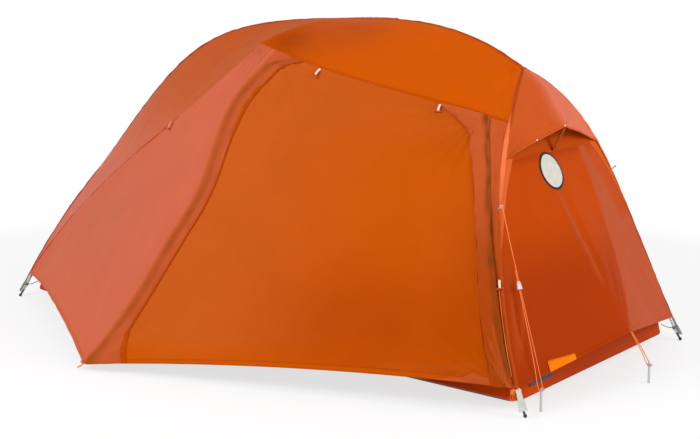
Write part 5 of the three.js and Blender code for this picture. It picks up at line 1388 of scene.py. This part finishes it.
# Guyline fittings
tensionerLook = {"sizes": (0.017, 0.024, 0.0062), "topScale": 0.45, "dish": 0.0012, "bevel": 0.0009}
tensionerPlace = vec(1.0704, -0.4164, 0.3555)
lineDown, lineSide = vec(0.3290, -0.1151, -0.9373), vec(0.3302, 0.9439, 0)
plate(
    "lineTensioner", base=tensionerPlace + lineDown * tensionerLook["sizes"][1] / 2, up=-lineDown,
    right=lineSide, material=finishes["pale"], body="tensioner", replaced=("line_tensioner",),
    slot="pale_plastic", **tensionerLook,
)
tabs = {
    "nearGuyTab": {"node": "near_guy_tab", "root": (0.9766, -0.3735, 0.5682)},
    "farGuyTab": {"node": "far_guy_tab", "root": (0.9684, 0.3582, 0.5988)},
}
tabLook = {"length": 0.022, "width": 0.012, "thickness": 0.0018}
for name, look in tabs.items():
    root = np.array(look["root"])
    out = outward(root)
    across = unit(np.cross(out, vec(0, 0, 1)))
    t, v = alongStrap(9)
    waist = 1 - 0.25 * np.sin(math.pi * t)
    grid = root + out * tabLook["length"] * (t - 0.1) + across * tabLook["width"] * v * waist
    thickness = tabLook["thickness"]
    makeSheet(name, grid, finishes["webbing"], "tent", (look["node"],), thickness=thickness)

# Cord lock at the strip's foot, with the shock cord's end loops under it
thinCords = {"lockLoop": 0.0014, "edge": 0.0016}  # diameters
lockTop = vec(1.1225, -0.5298, 0.0793)
lockProfile = [
    (0.0042, -0.0175), (0.0066, -0.0162), (0.0070, -0.012), (0.0070, -0.004), (0.0060, -0.0015),
    (0.0032, -0.0008), (0.0032, 0),
]
turned("cordLock", lockProfile, lockTop, (0, 0, 1), finishes["lock"], "lock", 0.0004, ("cord_lock",))
loopRoute = [
    (-0.001, 0, -0.017), (-0.004, 0, -0.028), (-0.002, 0, -0.037), (0.001, 0, -0.034), (0.003, 0, -0.026),
    (0.001, 0, -0.017),
]
for name, shift in (("lockLoopLeft", -0.0035), ("lockLoopRight", 0.0055)):
    route = throughPoints(np.array(loopRoute) + vec(shift, 0, 0), 40)
    ropeOf(name, route + lockTop, thinCords["lockLoop"], cordMaterial, "lock")

# Edge cord that tightens the strip beside the near head leg
legStart, legEnd = 12.2, 15.6
edgeLine = headLegLine("near", np.linspace(legStart, legEnd, 60))
zipAt = np.linspace(legStart - 4, legEnd - 4, 60)
zipSide = np.stack([np.interp(zipAt, range(13), rightZipStations[:, k]) for k in range(3)], -1)
edgeLine = edgeLine + unit(zipSide - edgeLine) * 0.011 + outward(edgeLine) * 0.0035
ropeOf("edgeCord", edgeLine, thinCords["edge"], cordMaterial)

# Zips: a woven tape beside each edge, with a nylon coil along it. The door's half stops above the slider.
zips = {
    "leftZipDoorTape": ("left_zip_door_tape", "door", "left", hungDoor, 0.966),
    "leftZipSideTape": ("left_zip_side_tape", "side", "right", "tent", 1.0),
    "rightZipDoorTape": ("right_zip_door_tape", "door", "right", hungDoor, 0.966),
    "rightZipSideTape": ("right_zip_side_tape", "strip", "left", "tent", 1.0),
}
zipLook = {"across": (0.0002, 0.0035, 0.0068, 0.0098), "lift": 0.0016, "thickness": 0.0008, "coil": 0.0018}
for name, (node, panel, edge, body, last) in zips.items():
    grid = atDistances(panels[panel], edge, zipLook["across"], zipLook["lift"])
    grid = grid[:, : round(last * (grid.shape[1] - 1)) + 1]
    makeSheet(name, grid, finishes["tape"], body, (node,), thickness=zipLook["thickness"])
    coil = 0.55 * grid[0] + 0.45 * grid[1]
    ropeOf(f"{name}Coil", coil + outward(coil) * 0.0006, zipLook["coil"], finishes["coil"], body)


def ringRound(centre, one, two, radius):
    circle = np.linspace(0, 2 * math.pi, 25)[:-1, None]
    return centre + (one * np.cos(circle) + two * np.sin(circle)) * radius


# Tethers: a strap from each fly corner to a moulded tab over the pole's foot, wrapped round the pole
# by elastic loops, with a thin line to the floor's corner
tetherLook = {
    "tab": {"sizes": (0.025, 0.034, 0.0022), "topScale": 0.85, "dish": 0.0004, "bevel": 0.0005},
    "strap": 0.016, "strapThickness": 0.0012, "loop": 0.0056, "loopThickness": 0.0026, "line": 0.0028,
}
corners = {
    "near_head": (headLegs["near"], size["headHem"], (1.1158, -0.4808, 0.0600)),
    "far_head": (headLegs["far"], size["headHem"], (1.1158, 0.4808, 0.0600)),
    "near_foot": (footLegs["near"], size["footHem"], (-1.1158, -0.3508, 0.0600)),
    "far_foot": (footLegs["far"], size["footHem"], (-1.1158, 0.3508, 0.0600)),
}
for key, (pole, corner, toFloor) in corners.items():
    tip, tabFoot, above, grip, atHem = (
        pole(shareAt(pole, 2, height)) for height in (0.0, 0.016, 0.026, 0.044, corner)
    )
    axis = unit(above - tip)
    top = offset(atHem, size["flyStandoff"])
    out = top - atHem
    out = unit(out - axis * (out @ axis))
    across = np.cross(axis, out)
    tabLength, thickness = tetherLook["tab"]["sizes"][1:]
    foot = tabFoot + out * (size["flyStandoff"] - thickness)
    head = top - axis * 0.001 - out * thickness / 2
    up = unit(head - foot)
    first, second = key.split("_")
    name = first + second.capitalize()
    plate(
        f"{name}TetherTab", base=foot, up=up, right=across, material=finishes["tab"], body="tent",
        replaced=(f"{key}_tether",), slot="webbing", **tetherLook["tab"],
    )
    span = float((head - foot) @ up) - tabLength + 0.008
    strapThickness = tetherLook["strapThickness"]
    t, v = alongStrap(15)
    sway = 0.0004 * np.sin(9 * t)
    grid = head - up * span * t + across * tetherLook["strap"] * v * (1 + 0.04 * np.sin(14 * t))
    grid = grid + out * (0.0006 + sway)
    makeSheet(f"{name}TetherStrap", grid, finishes["webbing"], thickness=strapThickness)
    for k, shift in enumerate((-0.004, 0.0, 0.004)):
        loop = ringRound(grip + axis * shift, across, out, tetherLook["loop"])
        elastic = finishes["elastic"]
        ropeOf(f"{name}TetherLoop{k}", loop, tetherLook["loopThickness"], elastic, closed=True)
    line = straight(grip, np.array(toFloor), 19)
    line[:, 2] -= 0.004 * np.sin(math.pi * np.linspace(0, 1, 20))
    ropeOf(f"{name}FloorLine", line, tetherLook["line"], finishes["elastic"])

# Hangers: an elastic loop round a pole, and a short web that carries the inner tent
hangerLook = {"ring": 0.0066, "thickness": 0.0030, "web": 0.0034}
hangers = []
for step in (2, 5, 8):
    share = crossingShare + (1 - crossingShare) * step / 12
    hangers.append((f"roofHanger{step}", roofSpine(share), roofSpine(share + 0.01), inwards(spineFoot(step))))
for side, sign in sides.items():
    for end, pole, line, at in (
        ("head", headLegs[side], headLegLine, 10), ("foot", footLegs[side], footLegLine, 2),
    ):
        onLine = pointOn(line, side, at)
        share = shareAt(pole, 2, onLine[2] - 0.004)
        edge = inner[side][f"{end}Edge"]
        target = edge[np.argmin(np.linalg.norm(edge - onLine, axis=1))] + vec(0, -sign * 0.004, 0)
        hangers.append((f"{end}Hanger{side.capitalize()}", pole(share), pole(share + 0.01), target))
for name, centre, ahead, target in hangers:
    axis = unit(ahead - centre)
    one = unit(np.cross(axis, vec(0, 0, 1)))
    ring = ringRound(centre, one, np.cross(axis, one), hangerLook["ring"])
    ropeOf(name, ring, hangerLook["thickness"], finishes["elastic"], closed=True)
    web = straight(centre + unit(target - centre) * hangerLook["ring"], target, 12)
    ropeOf(f"{name}Web", web, hangerLook["web"], finishes["webbing"])
print("straps, zips and hangers made")

# Bartacks: short dense bars of pale thread where a seam is pulled
hoodEdge = toEdge(panels["hood"], "bottom")[0]
for name, at in (("hoodTackMiddle", 0.27), ("hoodTackApex", 0.495)):
    k = round(at * (len(hoodEdge) - 1))
    here, ahead = hoodEdge[k], unit(hoodEdge[k + 1] - hoodEdge[k - 1])
    out = normalsOf(panels["hood"])[-1, k]
    side = np.cross(ahead, out)
    side = side * (-1 if side[2] < 0 else 1)
    t, v = np.linspace(-0.5, 0.5, 9)[:, None, None], np.linspace(0, 1, 4)[None, :, None]
    grid = here + ahead * 0.0065 * t + side * (0.002 + 0.0035 * v) + out * (0.0026 + 0.0003 * np.sin(40 * t))
    makeSheet(name, grid, finishes["thread"], thickness=0.0008)


# Plain patches: bare woven labels
roundPatch = {"y": -0.058, "z": 0.642, "radius": 0.0585, "rim": 0.007, "flatten": 0.97}
angles = np.linspace(0, 2 * math.pi, 65)
edgeRadius = roundPatch["radius"] - roundPatch["rim"]
rimRadii = roundPatch["radius"] - roundPatch["rim"] * np.array((0.9, 0.5, 0.0))
radii = np.concatenate([np.linspace(0.001, edgeRadius, 10), rimRadii])[:, None]
y = roundPatch["y"] + radii * np.cos(angles)
z = roundPatch["z"] + roundPatch["flatten"] * radii * np.sin(angles)
ring = np.stack([np.zeros_like(y), y, z], -1)
ring = onSurface(panels["head"], ring.reshape(-1, 3), 0).reshape(ring.shape)
facing = normalsOf(panels["head"])[30, 40]
border = ring[9:] + facing * np.array((0.0016, 0.0026, 0.0026, 0.0014))[:, None, None]
makeSheet("roundPatch", ring[:10] + facing * 0.0016, finishes["patchField"], thickness=0.0009)
makeSheet("roundPatchBorder", border, finishes["patchRim"], thickness=0.0009)
hemSpan = (0.135, 0.245)
hemWidth = np.interp(np.linspace(0, 1, 81), hemSpan, (0.036, 0.020))
flatTrim("hemPatch", "head", "bottom", hemWidth, "patchCloth", lift=0.0026, line=0.5, span=hemSpan)
labelLook = {"y": (-0.420, -0.283), "z": (0.073, 0.055), "lift": 0.0012, "thickness": 0.0007}
tubWall = tubGrid[9:, tubGrid[9, :, 0] > 1.05]
y, z = np.meshgrid(np.linspace(*labelLook["y"], 15), np.linspace(*labelLook["z"], 9))
label = onSurface(tubWall, np.stack([np.zeros_like(y), y, z], -1).reshape(-1, 3), 0).reshape(9, 15, 3)
label = label + normalsOf(label) * labelLook["lift"]
makeSheet("floorLabel", label, finishes["label"], thickness=labelLook["thickness"])
cornerWidth = np.interp(
    np.linspace(0, 1, 141), (0.84, 0.90, 0.925, 0.96, 1), (0.006, 0.014, 0.036, 0.024, 0.008)
)
flatTrim(
    "doorCornerPatch", "door", "bottom", cornerWidth, "stripCloth", "door",
    start=0.001, lift=0.0026, paintedLightBlend=0.1, line=0.2, span=(0.84, 0.985),
)
print("patches made")

# Finishes of the frame, the fittings and the zips, which keep the CAD shapes
nodeFinishes = {
    "pole": (
        "spine_head_section", "spine_foot_section", "brow_pole",
        "near_head_leg", "far_head_leg", "near_foot_leg", "far_foot_leg",
    ),
    "hub": (
        "head_hub", "foot_hub", "brow_clip",
        "near_head_tip", "far_head_tip", "near_foot_tip", "far_foot_tip",
    ),
    "slider": ("left_zip_slider", "right_zip_slider", "inner_zip_slider"),
    "peg": ("guy_peg", "tie_out_peg"),
    "stay": ("vent_prop",),
}
for finishName, names in nodeFinishes.items():
    for name in names:
        for place in nodes[name].material_slots:
            place.material = finishes[finishName]
print("frame finished")

# Stage: a plain pale floor, and soft studio light.
stageLook = {
    "floorSize": 60, "floorGrey": 0.84, "ambient": 0.62, "key": 197, "fill": 112,
    "shadowReach": 1.3, "whiteFrom": 2.6, "paleShare": 0.72,
}


def seenShare(tree):
    path = [addNode(tree, "LightPath", out=ray) for ray in ("Is Camera Ray", "Is Glossy Ray")]
    return calculated(tree, "MAXIMUM", *path)


bpy.ops.mesh.primitive_plane_add(size=stageLook["floorSize"], location=(0, 0, 0))
floor = bpy.context.object
floor.name = "studioFloor"
paper, tree, place = newMaterial("palePaper")
lit = addNode(tree, "BsdfDiffuse", {"Color": (stageLook["floorGrey"],) * 3 + (1,)})
white = addNode(tree, "Emission", {"Color": (1, 1, 1, 1), "Strength": 1.0})
distance = addNode(tree, "VectorMath", {0: place}, "Value", operation="LENGTH")
shadow = stageLook["shadowReach"], stageLook["whiteFrom"]
far = ranged(tree, distance, *shadow, interpolation_type="SMOOTHSTEP")
paler = calculated(tree, "MAXIMUM", far, stageLook["paleShare"])
share = calculated(tree, "MULTIPLY", paler, seenShare(tree))
addNode(tree, "OutputMaterial", {"Surface": addNode(tree, "MixShader", {0: share, 1: lit, 2: white})})
floor.data.materials.append(paper)

world = bpy.data.worlds.new("studio")
bpy.context.scene.world = world
world.use_nodes = True
tree = world.node_tree
tree.nodes.clear()
strength = ranged(tree, seenShare(tree), 0.0, 1.0, stageLook["ambient"], 1.0)
light = addNode(tree, "Background", {"Color": (1, 1, 1, 1), "Strength": strength})
addNode(tree, "OutputWorld", {"Surface": light})


def softbox(name, place, target, power, width):
    bpy.ops.object.light_add(type="AREA", location=place)
    lamp = bpy.context.object
    lamp.name = name
    lamp.data.energy = power
    lamp.data.size = width
    lamp.rotation_euler = (Vector(target) - Vector(place)).to_track_quat("-Z", "Y").to_euler()


softbox("keyLight", (-1.5, -4.5, 4.0), (0, 0, 0.4), stageLook["key"], 3.0)
softbox("fillLight", (4.5, 1.0, 2.5), (0.5, 0, 0.5), stageLook["fill"], 2.5)
print("stage made")
